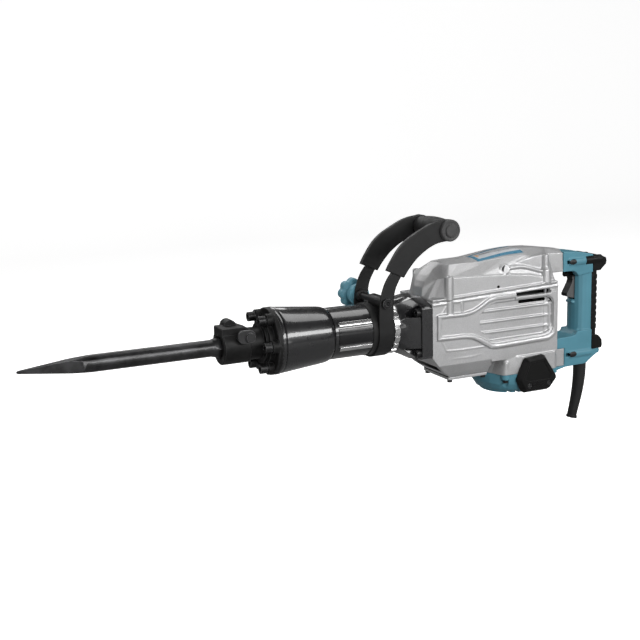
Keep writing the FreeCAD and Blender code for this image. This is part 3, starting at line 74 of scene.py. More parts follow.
class MaterialBuilder:
    """Procedural principled material, textured in object coordinates."""

    def __init__(self, name, color, metallic, roughness, coat=0.0, coat_roughness=0.1,
                 specular=0.5):
        self.material = bpy.data.materials.new(name)
        self.material.use_nodes = True
        self.material.diffuse_color = (*color, 1)
        self.tree = self.material.node_tree
        self.tree.nodes.clear()
        self.output = self.new("ShaderNodeOutputMaterial")
        self.principled = self.new("ShaderNodeBsdfPrincipled")
        self.link(self.principled.outputs[0], self.output.inputs[0])
        for socket, value in (("Base Color", (*color, 1)), ("Metallic", metallic),
                              ("Roughness", roughness), ("Coat Weight", coat),
                              ("Coat Roughness", coat_roughness),
                              ("Specular IOR Level", specular)):
            self.principled.inputs[socket].default_value = value
        self.coordinates = self.new("ShaderNodeTexCoord").outputs["Object"]
        self.normal = None

    def link(self, source, target):
        self.tree.links.new(source, target)

    def new(self, kind, **settings):
        node = self.tree.nodes.new(kind)
        for key, value in settings.items():
            setattr(node, key, value)
        return node

    def set(self, name, socket):
        self.link(socket, self.principled.inputs[name])

    def noise(self, scale, detail, source=None):
        node = self.new("ShaderNodeTexNoise")
        node.inputs["Scale"].default_value = scale
        node.inputs["Detail"].default_value = detail
        node.inputs["Roughness"].default_value = 0.55
        self.link(source or self.coordinates, node.inputs["Vector"])
        return node.outputs["Fac"]

    def streaks(self, scale):
        """Noise stretched by a separate scale on each axis."""
        node = self.new("ShaderNodeMapping")
        node.inputs["Scale"].default_value = scale
        self.link(self.coordinates, node.inputs["Vector"])
        return self.noise(scale=1.0, detail=3.0, source=node.outputs[0])

    def cells(self, scale):
        node = self.new("ShaderNodeTexVoronoi")
        node.inputs["Scale"].default_value = scale
        self.link(self.coordinates, node.inputs["Vector"])
        return node.outputs["Distance"]

    def math(self, operation, first, second):
        # These operations ignore the node's third input, which is held at zero.
        return math_node(self.tree, operation, (first, second, 0.0))

    def ramp(self, value, dark, light, start=0.3, end=0.7):
        node = self.new("ShaderNodeValToRGB")
        stops = ((start, dark), (end, light))
        for element, (position, color) in zip(node.color_ramp.elements, stops):
            element.position = position
            element.color = (*color, 1)
        self.link(value, node.inputs[0])
        return node.outputs[0]

    def remap(self, value, low, high, start=0.3, end=0.7):
        """Maps start..end onto low..high."""
        node = self.new("ShaderNodeMapRange")
        for name, limit in (("From Min", start), ("From Max", end),
                            ("To Min", low), ("To Max", high)):
            node.inputs[name].default_value = limit
        self.link(value, node.inputs["Value"])
        return node.outputs[0]

    def mix(self, factor, first, second, mode="MIX"):
        node = self.new("ShaderNodeMix", data_type="RGBA", blend_type=mode)
        if isinstance(factor, (int, float)):
            node.inputs[0].default_value = factor
        else:
            self.link(factor, node.inputs[0])
        for socket, color in ((node.inputs[6], first), (node.inputs[7], second)):
            if isinstance(color, tuple):
                socket.default_value = (*color, 1)
            else:
                self.link(color, socket)
        return node.outputs[2]

    def rounded_normal(self, radius):
        node = self.new("ShaderNodeBevel")
        node.samples = 4
        node.inputs["Radius"].default_value = radius
        return node.outputs[0]

    def soften(self, radius):
        """Rounds shading at hard corners; goes in before any bump."""
        self.normal = self.rounded_normal(radius)
        self.set("Normal", self.normal)

    def edge(self, radius):
        """0 on flat surfaces, towards 1 at corners."""
        geometry = self.new("ShaderNodeNewGeometry")
        rounded = self.rounded_normal(radius)
        dot = self.new("ShaderNodeVectorMath", operation="DOT_PRODUCT")
        self.link(geometry.outputs["Normal"], dot.inputs[0])
        self.link(rounded, dot.inputs[1])
        return self.remap(dot.outputs["Value"], 0.0, 1.0, start=0.995, end=0.86)

    def rubbed_and_highlit_edges(self, color, rubbed_and_highlit, radius, amount):
        """Blends the colour towards a lighter one at corners: rubbed edges, and a painted rim
        highlight as well.
        """
        return self.mix(self.math("MULTIPLY", self.edge(radius), amount), color, rubbed_and_highlit)

    def noisy_roughness(self, scale, low, high, detail=4.0):
        self.set("Roughness", self.remap(self.noise(scale, detail), low, high))

    def bump(self, height, strength, depth):
        """Adds relief on top of the normal built so far."""
        node = self.new("ShaderNodeBump")
        node.inputs["Strength"].default_value = strength
        node.inputs["Distance"].default_value = depth
        self.link(height, node.inputs["Height"])
        if self.normal is not None:
            self.link(self.normal, node.inputs["Normal"])
        self.normal = node.outputs[0]
        self.set("Normal", self.normal)

    def grain(self, scale, detail, strength, depth):
        self.bump(self.noise(scale, detail), strength, depth)

    def pits(self, scale, strength, depth):
        self.bump(self.cells(scale), strength, depth)


# ------------------------------------------------------------------ materials
def cast_metal(name, level):
    """Shot-blasted, tumbled die-cast aluminium."""
    mat = MaterialBuilder(name, grey(level, blue=1.005), metallic=0.70, roughness=0.45)
    mat.soften(radius=0.0009)
    broad = mat.noise(scale=14.0, detail=3.0)
    medium = mat.noise(scale=160.0, detail=5.0)
    color = mat.ramp(broad, grey(level * 0.93), (level * 1.06, level * 1.06, level * 1.07))
    specks = mat.ramp(mat.cells(scale=1300.0), grey(0.80), grey(1.0), start=0.05, end=0.45)
    color = mat.mix(0.45, color, specks, mode="MULTIPLY")
    mottle = mat.ramp(mat.noise(scale=620.0, detail=2.0), (0.76, 0.76, 0.77), grey(1.0),
                      start=0.34, end=0.66)
    color = mat.mix(0.55, color, mottle, mode="MULTIPLY")
    edge = mat.edge(radius=0.0014)
    # Lighter corners: tumbled edges, and a painted rim highlight as well.
    color = mat.mix(mat.math("MULTIPLY", edge, 0.55), color, (0.86, 0.86, 0.87))
    mat.set("Base Color", color)
    roughness = mat.remap(medium, low=0.40, high=0.54)
    # Corners are polished a little smoother than the faces.
    mat.set("Roughness", mat.math("SUBTRACT", roughness, mat.math("MULTIPLY", edge, 0.10)))
    mat.grain(scale=1500.0, detail=3.0, strength=0.35, depth=0.00012)
    mat.grain(scale=420.0, detail=3.0, strength=0.25, depth=0.00018)
    return mat.material


def gloss_enamel(name):
    """Gloss black enamel with slight orange peel."""
    black = (0.009, 0.009, 0.010)
    mat = MaterialBuilder(name, black, metallic=0.0, roughness=0.30, coat=1.0,
                          coat_roughness=0.07)
    mat.soften(radius=0.0008)
    mat.noisy_roughness(scale=30.0, detail=3.0, low=0.22, high=0.34)
    # Lighter corners: rubbed enamel, and a painted rim highlight as well.
    mat.set("Base Color", mat.rubbed_and_highlit_edges(black, grey(0.06), radius=0.0008, amount=0.35))
    mat.grain(scale=230.0, detail=1.0, strength=0.02, depth=0.00003)
    return mat.material


def satin_coat(name):
    """Satin black powder coat on steel."""
    level, roughness = 0.011, 0.46
    black = grey(level, blue=1.02)
    mat = MaterialBuilder(name, black, metallic=0.0, roughness=roughness, specular=0.3)
    mat.soften(radius=0.0007)
    # Lighter corners: rubbed coat, and a painted rim highlight as well.
    color = mat.rubbed_and_highlit_edges(black, grey(level * 4), radius=0.0009, amount=0.5)
    haze = mat.remap(mat.noise(scale=22.0, detail=3.0), low=0.0, high=0.35, start=0.35)
    mat.set("Base Color", mat.mix(haze, color, grey(level * 1.8)))
    mat.noisy_roughness(scale=70.0, low=roughness - 0.06, high=roughness + 0.08)
    mat.grain(scale=1800.0, detail=2.0, strength=0.18, depth=0.00008)
    mat.pits(scale=900.0, strength=0.10, depth=0.00008)
    return mat.material


def dark_metal(name, level, roughness, metallic, axis="X"):
    """Forged or machined dark steel with fine marks along its axis."""
    mat = MaterialBuilder(name, grey(level, blue=1.03), metallic, roughness)
    mat.soften(radius=0.0006)
    marks = mat.streaks((6, 900, 900) if axis == "X" else (900, 900, 6))
    blotches = mat.noise(scale=38.0, detail=5.0)
    color = mat.ramp(blotches, grey(level * 0.65), (level * 1.7, level * 1.7, level * 1.75),
                     end=0.75)
    # Lighter corners: worn steel, and a painted rim highlight as well.
    color = mat.rubbed_and_highlit_edges(color, (0.30, 0.30, 0.31), radius=0.0008, amount=0.7)
    mat.set("Base Color", color)
    mark_roughness = mat.remap(marks, low=roughness - 0.08, high=roughness + 0.08)
    blotch_roughness = mat.remap(blotches, low=-0.03, high=0.08, end=0.8)
    mat.set("Roughness", mat.math("ADD", mark_roughness, blotch_roughness))
    mat.bump(marks, strength=0.10, depth=0.00005)
    mat.grain(scale=700.0, detail=4.0, strength=0.22, depth=0.00012)
    return mat.material


def black_casting(name):
    """Black oxide sand-cast steel, rough grain."""
    level = 0.008
    mat = MaterialBuilder(name, grey(level), metallic=0.10, roughness=0.5, specular=0.22)
    mat.soften(radius=0.0012)
    color = mat.ramp(mat.noise(scale=60.0, detail=5.0), grey(level * 0.6), grey(level * 1.9),
                     end=0.75)
    # Lighter corners: rubbed edges, and a painted rim highlight as well.
    color = mat.rubbed_and_highlit_edges(color, (0.16, 0.16, 0.165), radius=0.0013, amount=0.55)
    mat.set("Base Color", color)
    mat.noisy_roughness(scale=120.0, low=0.40, high=0.58)
    mat.grain(scale=1100.0, detail=4.0, strength=0.5, depth=0.00018)
    mat.grain(scale=240.0, detail=3.0, strength=0.3, depth=0.0003)
    return mat.material


def bright_metal(name, roughness, level):
    """Bright machined metal with faint marks along X."""
    mat = MaterialBuilder(name, grey(level, blue=1.01), metallic=1.0, roughness=roughness)
    mat.soften(radius=0.0005)
    marks = mat.streaks((10, 420, 420))
    mat.set("Roughness", mat.remap(marks, low=roughness * 0.85, high=roughness * 1.25))
    mat.set("Base Color", mat.ramp(mat.noise(scale=50.0, detail=4.0), grey(level * 0.85),
                                   grey(level)))
    mat.bump(marks, strength=0.02, depth=0.00002)
    return mat.material


def teal_moulding(name, color):
    """Moulded polyamide, fine spark-eroded texture."""
    mat = MaterialBuilder(name, color, metallic=0.0, roughness=0.42, specular=0.45)
    mat.soften(radius=0.0010)
    broad = mat.remap(mat.noise(scale=18.0, detail=2.0), low=0.0, high=1.0)
    shaded = mat.mix(broad, scaled(color, 0.93), scaled(color, 1.07))
    # Lighter corners: rubbed edges, and a painted rim highlight as well.
    shaded = mat.rubbed_and_highlit_edges(shaded, scaled(color, 1.5, lift=0.03), radius=0.0012, amount=0.35)
    mat.set("Base Color", shaded)
    mat.noisy_roughness(scale=90.0, low=0.36, high=0.50)
    mat.pits(scale=1700.0, strength=0.22, depth=0.00010)
    mat.grain(scale=2400.0, detail=2.0, strength=0.12, depth=0.00006)
    return mat.material


def plastic(name, level):
    """Moulded plastic in black or grey."""
    roughness = 0.42
    mat = MaterialBuilder(name, grey(level), metallic=0.0, roughness=roughness, specular=0.22)
    mat.soften(radius=0.0009)
    # Lighter corners: rubbed edges, and a painted rim highlight as well.
    mat.set("Base Color", mat.rubbed_and_highlit_edges(grey(level), grey(level * 3.5), radius=0.0010,
                                         amount=0.4))
    mat.noisy_roughness(scale=80.0, low=roughness - 0.05, high=roughness + 0.08)
    mat.pits(scale=1500.0, strength=0.25, depth=0.00010)
    return mat.material


def rubber(name, level, roughness):
    mat = MaterialBuilder(name, grey(level), metallic=0.0, roughness=roughness, specular=0.22)
    mat.soften(radius=0.0010)
    haze = mat.remap(mat.noise(scale=26.0, detail=4.0), low=0.0, high=0.5, start=0.35, end=0.75)
    mat.set("Base Color", mat.mix(haze, grey(level), grey(level * 1.9)))
    mat.noisy_roughness(scale=140.0, low=roughness - 0.08, high=roughness + 0.10)
    mat.principled.inputs["Sheen Weight"].default_value = 0.06
    mat.pits(scale=1100.0, strength=0.4, depth=0.00014)
    mat.grain(scale=500.0, detail=3.0, strength=0.15, depth=0.00015)
    return mat.material


def plain(name, color, metallic, roughness, grain=900.0):
    """One colour with light mottling and grain."""
    mat = MaterialBuilder(name, color, metallic, roughness)
    mat.noisy_roughness(scale=60.0, low=roughness * 0.8, high=roughness * 1.2)
    mottle = mat.remap(mat.noise(scale=35.0, detail=4.0), low=0, high=1)
    mat.set("Base Color", mat.mix(mottle, scaled(color, 0.85), scaled(color, 1.1)))
    mat.grain(scale=grain, detail=3.0, strength=0.15, depth=0.00008)
    return mat.material


MATERIALS = {
    "tool_steel": dark_metal("mat_tool_steel", level=0.060, roughness=0.34, metallic=0.9),
    "dark_cast": black_casting("mat_dark_cast"),
    "dark_steel": dark_metal("mat_dark_steel", level=0.028, roughness=0.40, metallic=0.5),
    "black_screws": dark_metal("mat_black_screws", level=0.018, roughness=0.38, metallic=0.6,
                               axis="Z"),
    "zinc_screws": plain("mat_zinc", (0.42, 0.42, 0.44), metallic=0.9, roughness=0.35),
    "black_gloss": gloss_enamel("mat_black_gloss"),
    "ground_steel": bright_metal("mat_ground_steel", roughness=0.22, level=0.5),
    "gear_steel": plain("mat_gear_steel", (0.30, 0.30, 0.32), metallic=1.0, roughness=0.32),
    "buffer_rubber": rubber("mat_buffer_rubber", level=0.014, roughness=0.55),
    "grip_rubber": rubber("mat_grip_rubber", level=0.014, roughness=0.56),
    "piston_alloy": bright_metal("mat_piston_alloy", roughness=0.28, level=0.62),
    "lamination": plain("mat_lamination", (0.16, 0.155, 0.15), metallic=0.8, roughness=0.5,
                        grain=1500.0),
    "copper": plain("mat_copper", (0.62, 0.32, 0.18), metallic=1.0, roughness=0.3),
    "carbon": plain("mat_carbon", grey(0.025), metallic=0.1, roughness=0.5),
    "plate_black": plain("mat_plate_black", (0.008, 0.008, 0.009), metallic=0.0, roughness=0.22),
    "bright_metal": bright_metal("mat_bright_metal", roughness=0.20, level=0.80),
    "black_satin": satin_coat("mat_black_satin"),
    "plug_dark": plain("mat_plug_dark", (0.11, 0.11, 0.112), metallic=0.85, roughness=0.42),
    "cap_grey": rubber("mat_cap_grey", level=0.055, roughness=0.5),
    "teal_plastic": teal_moulding("mat_teal", (0.079, 0.238, 0.306)),
    "teal_knob": teal_moulding("mat_teal_knob", (0.125, 0.33, 0.42)),
    "black_plastic": plastic("mat_black_plastic", level=0.005),
    "trigger_plastic": plastic("mat_trigger", level=0.10),
    "cast_alloy": cast_metal("mat_cast_alloy", level=0.585),
    # Painted shade: near-black for hollows and insides, where shade falls.
    "painted_shade_black": plain("mat_painted_shade_black", grey(0.006), metallic=0.0, roughness=0.5),
}

# ------------------------------------------------------------------ CAD pieces
EDGE_ROUND = 0.6        # bevel width
EDGE_ANGLE = 32.0       # degrees
# Enclosed pieces keep their sharp edges.
INTERNAL_NODES = {
    "anvil_bush", "anvil", "buffer_ring", "cylinder_liner", "striker", "piston", "piston_ring",
    "piston_pin", "connecting_rod", "crank_pin", "crank_gear", "crankshaft",
    "intermediate_gear", "intermediate_shaft", "armature_shaft", "armature_core", "commutator",
    "cooling_fan", "stator", "shaft_bearings", "brush_holders", "carbon_brushes", "switch_body",
}


def set_material(piece, key):
    piece.data.materials.clear()
    piece.data.materials.append(MATERIALS[key])


def shade_smooth(mesh):
    for face in mesh.polygons:
        face.use_smooth = True


def finish_node(name, slot):
    """Gives a CAD piece its material and, where it can be seen, rounded edges."""
    piece = NODES[name]
    set_material(piece, slot)
    piece.modifiers.new("weld", "WELD").merge_threshold = 0.00002
    if name not in INTERNAL_NODES:
        bevel = piece.modifiers.new("round", "BEVEL")
        bevel.width = EDGE_ROUND * mm
        bevel.segments = 2
        bevel.limit_method = "ANGLE"
        bevel.angle_limit = math.radians(EDGE_ANGLE)
        bevel.use_clamp_overlap = True
        bevel.harden_normals = False
    shade_smooth(piece.data)
    piece.modifiers.new("wn", "WEIGHTED_NORMAL").keep_sharp = False


node_slots = {part["node"]: part["material_slot"] for part in frame["record"]["subparts"]}
for node_name in NODES:
    finish_node(node_name, node_slots[node_name])


# ------------------------------------------------------------------ solids, in millimetres
def on_side(side, points):
    """Points (x, y, ...) with y taken to the given side."""
    return [(x, side * y, *rest) for x, y, *rest in points]


def on_both_sides(points):
    return [point for side in SIDES for point in on_side(side, points)]


def add_hull(bm, points):
    verts = [bm.verts.new(Vector(point)) for point in points]
    hull = bmesh.ops.convex_hull(bm, input=verts)
    loose = {item for item in hull["geom_interior"] + hull["geom_unused"]
             if isinstance(item, bmesh.types.BMVert) and item.is_valid and not item.link_faces}
    bmesh.ops.delete(bm, geom=list(loose), context="VERTS")


def add_between(bm, lower, upper):
    """Closed solid between two outlines with the same number of points."""
    low = [bm.verts.new(point) for point in lower]
    high = [bm.verts.new(point) for point in upper]
    faces = [bm.faces.new(low[::-1]), bm.faces.new(high)]
    for i in range(len(low)):
        j = (i + 1) % len(low)
        faces.append(bm.faces.new((low[i], low[j], high[j], high[i])))
    bmesh.ops.recalc_face_normals(bm, faces=faces)


def add_prism(bm, outline, axis, start, end):
    """Outline in (x, z) for axis Y, in (x, y) for axis Z."""
    def section(level):
        if axis == "Y":
            return [(x, level, z) for x, z in outline]
        return [(x, y, level) for x, y in outline]
    add_between(bm, section(start), section(end))


def add_cylinder(bm, start, end, radius, end_radius=None, segments=40):
    start, end = Vector(start), Vector(end)
    along = (end - start).normalized()
    across = along.orthogonal().normalized()
    other = along.cross(across)
    angles = [2 * math.pi * i / segments for i in range(segments)]

    def ring(center, size):
        return [center + (across * math.cos(t) + other * math.sin(t)) * size for t in angles]
    add_between(bm, ring(start, radius), ring(end, radius if end_radius is None else end_radius))


def add_post(bm, x, y, bottom, top, radius, top_radius=None, segments=40):
    """Upright cylinder or cone."""
    add_cylinder(bm, (x, y, bottom), (x, y, top), radius, top_radius, segments)


def add_lathe(bm, profile, steps, start=0.0, sweep=2 * math.pi):
    """Turns a closed (x, radius) profile about X; a part turn gets end faces."""
    full = sweep == 2 * math.pi
    rings = []
    for i in range(steps if full else steps + 1):
        t = start + sweep * i / steps
        rings.append([bm.verts.new((x, r * math.cos(t), r * math.sin(t))) for x, r in profile])
    faces = []
    if full:
        rings.append(rings[0])
    else:
        faces += [bm.faces.new(rings[0]), bm.faces.new(rings[-1][::-1])]
    for ring, following in zip(rings, rings[1:]):
        for i in range(len(profile)):
            j = (i + 1) % len(profile)
            faces.append(bm.faces.new((ring[i], following[i], following[j], ring[j])))
    bmesh.ops.recalc_face_normals(bm, faces=faces)


def ball_points(center, radius, rows=7, columns=14):
    x, y, z = center
    points = []
    for i in range(rows + 1):
        tilt = math.pi * i / rows - math.pi / 2
        for j in range(columns):
            turn = 2 * math.pi * j / columns
            points.append((x + radius * math.cos(tilt) * math.cos(turn),
                           y + radius * math.cos(tilt) * math.sin(turn),
                           z + radius * math.sin(tilt)))
            if i in (0, rows):      # a pole needs one point only
                break
    return points


def add_bead(bm, path, radius=None):
    """Rounded rib along (x, y, z) points; a fourth value is that point's own radius."""
    balls = [ball_points(point[:3], point[3] if len(point) > 3 else radius) for point in path]
    for ball, following in zip(balls, balls[1:]):
        add_hull(bm, ball + following)


def smooth_outline(points, steps=4):
    """Closed Catmull-Rom outline; a point with a third entry stays a sharp corner."""
    count = len(points)
    outline = []
    for i in range(count):
        here, after = points[i], points[(i + 1) % count]
        before = here if len(here) > 2 else points[i - 1]
        beyond = after if len(after) > 2 else points[(i + 2) % count]
        for k in range(steps):
            t = k / steps
            outline.append(tuple(
                0.5 * (2 * v1 + (v2 - v0) * t + (2 * v0 - 5 * v1 + 4 * v2 - v3) * t * t
                       + (3 * v1 - v0 - 3 * v2 + v3) * t ** 3)
                for v0, v1, v2, v3 in zip(before[:2], here[:2], after[:2], beyond[:2])))
    return outline


# ------------------------------------------------------------------ from solids to finished pieces
CUTTER_VOXEL = 0.7


def to_object(bm, name):
    mesh = bpy.data.meshes.new(name)
    for vert in bm.verts:
        vert.co *= mm
    bm.to_mesh(mesh)
    bm.free()
    piece = bpy.data.objects.new(name, mesh)
    scene.collection.objects.link(piece)
    return piece


def baked(helper, name):
    """Applies a helper object's modifiers and returns the finished piece; the helper goes."""
    depsgraph = bpy.context.evaluated_depsgraph_get()
    mesh = bpy.data.meshes.new_from_object(helper.evaluated_get(depsgraph))
    mesh.name = name
    piece = bpy.data.objects.new(name, mesh)
    scene.collection.objects.link(piece)
    old_mesh = helper.data
    bpy.data.objects.remove(helper)
    bpy.data.meshes.remove(old_mesh)
    return piece


def solid_from_node(name):
    """A new working mesh holding a CAD piece's closed mesh, in millimetres."""
    bm = bmesh.new()
    source = bmesh.new()
    source.from_mesh(NODES[name].data)
    bmesh.ops.remove_doubles(source, verts=source.verts, dist=2e-6)
    for vert in source.verts:
        vert.co /= mm
    mesh = bpy.data.meshes.new("tmp")
    source.to_mesh(mesh)
    source.free()
    bm.from_mesh(mesh)
    bpy.data.meshes.remove(mesh)
    return bm


def add_remesh(piece, name, voxel):
    remesh = piece.modifiers.new(name, "REMESH")
    remesh.mode = "VOXEL"
    remesh.voxel_size = voxel * mm


def casting(name, solid, cut=None, *, voxel, rounds):
    """Joins overlapping solids, takes the cut away and softens every corner as a mould does."""
    piece = to_object(solid, name + "_w")
    add_remesh(piece, "r", voxel)
    if cut is not None:
        cutter = to_object(cut, name + "_c")
        add_remesh(cutter, "r", CUTTER_VOXEL)
        cutter = baked(cutter, name + "_cut")
        boolean = piece.modifiers.new("b", "BOOLEAN")
        boolean.operation = "DIFFERENCE"
        boolean.solver = "FAST"
        boolean.object = cutter
        add_remesh(piece, "r2", voxel)
    smooth = piece.modifiers.new("s", "SMOOTH")
    smooth.factor = 0.5
    smooth.iterations = rounds
    bpy.context.view_layer.update()
    piece = baked(piece, name)
    if cut is not None:
        bpy.data.objects.remove(cutter)
    shade_smooth(piece.data)
    return piece


def finish_piece(piece, slot, body, *nodes, material=None):
    """Sets the material (the slot's, unless another is given) and the body, and hides the CAD
    pieces that this one replaces.
    """
    set_material(piece, material or slot)
    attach(piece, body)
    if nodes:
        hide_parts(*nodes)
    return piece


def second_material(piece, key, test):
    """Second material for faces that pass test(centre in mm, normal); every use below paints shade
    onto the chosen faces.
    """
    piece.data.materials.append(MATERIALS[key])
    for face in piece.data.polygons:
        if test(face.center / mm, face.normal):
            face.material_index = 1


# ------------------------------------------------------------------ gear cover
# The joint plane between housing and gear cover rises towards the rear.
JOINT_START_X, JOINT_START_Z = 370.0, 43.5
JOINT_RISE, JOINT_RUN = 10.0, 264.5
COVER_LIFT = 0.1                            # gap above the joint plane
FRONT_BOSS_X, FRONT_BOSS_Y = 405.0, 55.0
REAR_BOSS_X, REAR_BOSS_Y = 611.0, 51.0
SCREW_HOLE_RADIUS = 3.3
DIMPLE_X, DIMPLE_Z = 507.0, 58.6

# Wall foot on the joint plane: x, y
WALL_FOOT = [(372.6, 16.5), (375.5, 33.0), (382.0, 44.0), (391.5, 51.5), (398.0, 56.2),
             (600.0, 56.2), (628.0, 56.0), (634.0, 53.0)]
# The tables below hold x, y, z for one side.
WALL_SHOULDER = [
    (385.0, 27.0, 78.0), (389.5, 41.0, 81.6), (396.0, 49.5, 83.6), (403.0, 55.8, 84.0),
    (418.0, 56.2, 83.4), (470.0, 56.2, 81.2), (530.0, 56.2, 78.8), (575.0, 56.0, 74.2),
    (608.0, 55.6, 67.0), (631.0, 54.0, 61.0)]
HOOD = [
    (385.0, 27.0, 77.5), (389.5, 41.0, 80.6), (396.0, 49.0, 82.8), (404.0, 54.6, 83.0),
    (470.0, 54.6, 80.6), (500.0, 54.6, 79.0),
    (372.6, 16.5, 48.0), (375.0, 15.5, 64.0), (380.0, 16.0, 75.0), (386.0, 16.0, 84.0),
    (394.0, 15.0, 92.6), (401.0, 14.0, 98.0), (408.0, 13.0, 102.0), (411.0, 21.0, 102.4),
    (421.0, 30.6, 102.8), (438.0, 33.2, 103.6), (500.0, 36.5, 103.2), (413.0, 10.0, 104.6),
    (424.0, 14.0, 106.0), (500.0, 14.0, 108.6)]
REAR_TOP = [
    (462.0, 54.6, 79.0), (530.0, 54.8, 77.8), (575.0, 54.6, 73.4), (608.0, 54.2, 66.4),
    (631.0, 52.6, 60.4),
    (452.0, 36.0, 100.5), (490.0, 37.0, 104.0), (530.0, 39.0, 108.0), (575.0, 40.0, 108.4),
    (606.0, 38.0, 103.0), (633.0, 31.0, 97.0),
    (455.0, 15.0, 105.0), (486.0, 16.0, 110.0), (530.0, 17.0, 116.0), (556.0, 17.0, 117.8),
    (578.0, 17.0, 118.3), (606.0, 16.0, 117.2), (633.5, 14.0, 113.6), (633.5, 30.0, 62.0)]
SPINE = [
    (612.0, 12.0, 116.6), (612.0, 26.0, 106.0), (612.0, 26.5, 66.8), (670.8, 11.6, 108.2),
    (670.8, 23.0, 101.4), (670.8, 24.8, 66.8), (640.0, 13.0, 112.4)]
RAIL_WEB = [
    (546.0, 36.0, 96.0), (546.0, 46.0, 95.4), (566.0, 47.5, 100.2), (587.0, 48.5, 105.4),
    (612.0, 48.5, 107.0), (622.0, 44.0, 106.0), (622.0, 26.0, 107.0), (566.0, 34.0, 104.0),
    (596.0, 32.0, 107.0), (612.0, 49.0, 78.0), (571.0, 47.0, 88.0), (622.0, 44.0, 78.0),
    (590.0, 48.5, 83.0), (622.0, 28.0, 70.0), (560.0, 36.0, 84.0)]
# x, y, z, radius
RAIL = [(531.0, 50.0, 88.4, 3.0), (545.0, 50.5, 90.0, 3.2), (560.0, 51.0, 89.6, 3.2),
        (573.0, 51.4, 86.6, 3.0), (588.0, 51.8, 81.6, 2.8), (608.0, 52.0, 75.8, 2.6)]
RAIL_ROOT = [(531.0, 44.0, 90.0), (560.0, 45.0, 91.0), (588.0, 46.0, 84.0), (606.0, 47.0, 78.0)]
FRONT_BOSS_WEB = [(394.0, 46.0, 47.0), (394.0, 46.0, 82.0), (405.0, 48.0, 82.5),
                  (405.0, 48.0, 47.0), (404.0, 53.0, 82.5), (404.0, 53.0, 47.0)]
RAIL_HOLLOW = [
    (552.0, 60.0, 86.0), (552.0, 54.8, 84.6), (566.0, 60.0, 84.0), (566.0, 51.0, 82.4),
    (600.0, 60.0, 73.0), (600.0, 50.0, 71.6), (600.0, 60.0, 70.0), (600.0, 51.0, 69.6),
    (575.0, 60.0, 77.4), (575.0, 52.0, 76.0), (552.0, 60.0, 83.0)]
CAST_LINE = [(482.0, 60.0, 56.4), (482.0, 55.2, 56.9), (482.0, 60.0, 57.9),
             (504.0, 60.0, 57.4), (504.0, 54.4, 58.3), (504.0, 60.0, 59.3)]
# Rear part of the chamber, seen from above: x, y
CHAMBER_OUTLINE = [(462.0, -44.0), (556.0, -44.0), (578.0, -24.0), (578.0, 24.0), (556.0, 44.0),
                   (462.0, 44.0)]


def joint_z(x):
    return JOINT_START_Z + (x - JOINT_START_X) * JOINT_RISE / JOINT_RUN


def gear_cover_solid():
    bm = bmesh.new()
    for side in SIDES:
        # joint flange and its bead
        add_hull(bm, [(x, side * y, joint_z(x) + lift) for lift in (COVER_LIFT, 5.0)
                      for y in (57.8, 40) for x in (371.2, 634.3)])
        add_bead(bm, [(372.5, side * 57.2, joint_z(372) + 3.4),
                      (633.0, side * 57.2, joint_z(633) + 3.4)], 1.7)
    foot = [(x, y, joint_z(x) + COVER_LIFT) for x, y in WALL_FOOT]
    for points in (foot + WALL_SHOULDER, HOOD, REAR_TOP, SPINE):
        add_hull(bm, on_both_sides(points))
    for side in SIDES:
        add_hull(bm, on_side(side, RAIL_WEB))
        add_bead(bm, on_side(side, RAIL))
        add_bead(bm, on_side(side, RAIL_ROOT), 3.4)
        # plug boss, a short tube looking outwards and forwards
        add_cylinder(bm, (530.0, side * 36.0, 86.0), (521.5, side * 54.6, 88.8), 9.4, 8.8)
        # rear boss: foot, waist and shaft
        add_post(bm, REAR_BOSS_X, side * REAR_BOSS_Y, 56.0, 80.0, 10.3, 9.4)
        add_post(bm, REAR_BOSS_X, side * REAR_BOSS_Y, 79.0, 84.5, 9.4, 6.4)
        add_post(bm, REAR_BOSS_X, side * 50.4, 80.0, 107.0, 6.3, 6.0)
        # front boss
        add_post(bm, FRONT_BOSS_X, side * FRONT_BOSS_Y, joint_z(FRONT_BOSS_X) + COVER_LIFT, 86.2,
                 8.2, 7.6)
        add_hull(bm, on_side(side, FRONT_BOSS_WEB))
    return bm


def gear_cover_cut():
    cut = bmesh.new()
    # gear chamber: round front part, straight rear part, round pocket in the roof
    add_post(cut, 445.5, 0, 30.0, 64.6, 53.6, segments=72)
    add_prism(cut, CHAMBER_OUTLINE, "Z", 30.0, 79.0)
    add_post(cut, 510.5, 0, 70.0, 88.0, 17.5)
    for side in SIDES:
        # screw seats and holes in the bosses
        for x, y, seat_z, seat_top, seat_radius, hole_top in (
                (FRONT_BOSS_X, FRONT_BOSS_Y, 81.0, 100.0, 5.7, 90.0),
                (REAR_BOSS_X, REAR_BOSS_Y, 101.0, 120.0, 5.15, 110.0)):
            add_post(cut, x, side * y, seat_z, seat_top, seat_radius)
            add_post(cut, x, side * y, 30.0, hole_top, SCREW_HOLE_RADIUS, segments=20)
        # plug bore
        add_cylinder(cut, (524.6, side * 47.4, 87.7), (519.0, side * 60.0, 89.6), 6.6, 7.6)
        add_hull(cut, on_side(side, RAIL_HOLLOW))
        # dimple at the end of the cast line
        add_cylinder(cut, (DIMPLE_X, side * 52.0, DIMPLE_Z), (DIMPLE_X, side * 60.0, DIMPLE_Z),
                     2.3, segments=20)
        add_hull(cut, on_side(side, CAST_LINE))
        # scoop beside the front boss
        add_bead(cut, [(390.5, side * 56.0, 56.0, 5.5), (391.0, side * 56.0, 77.0, 5.0)])
    return cut


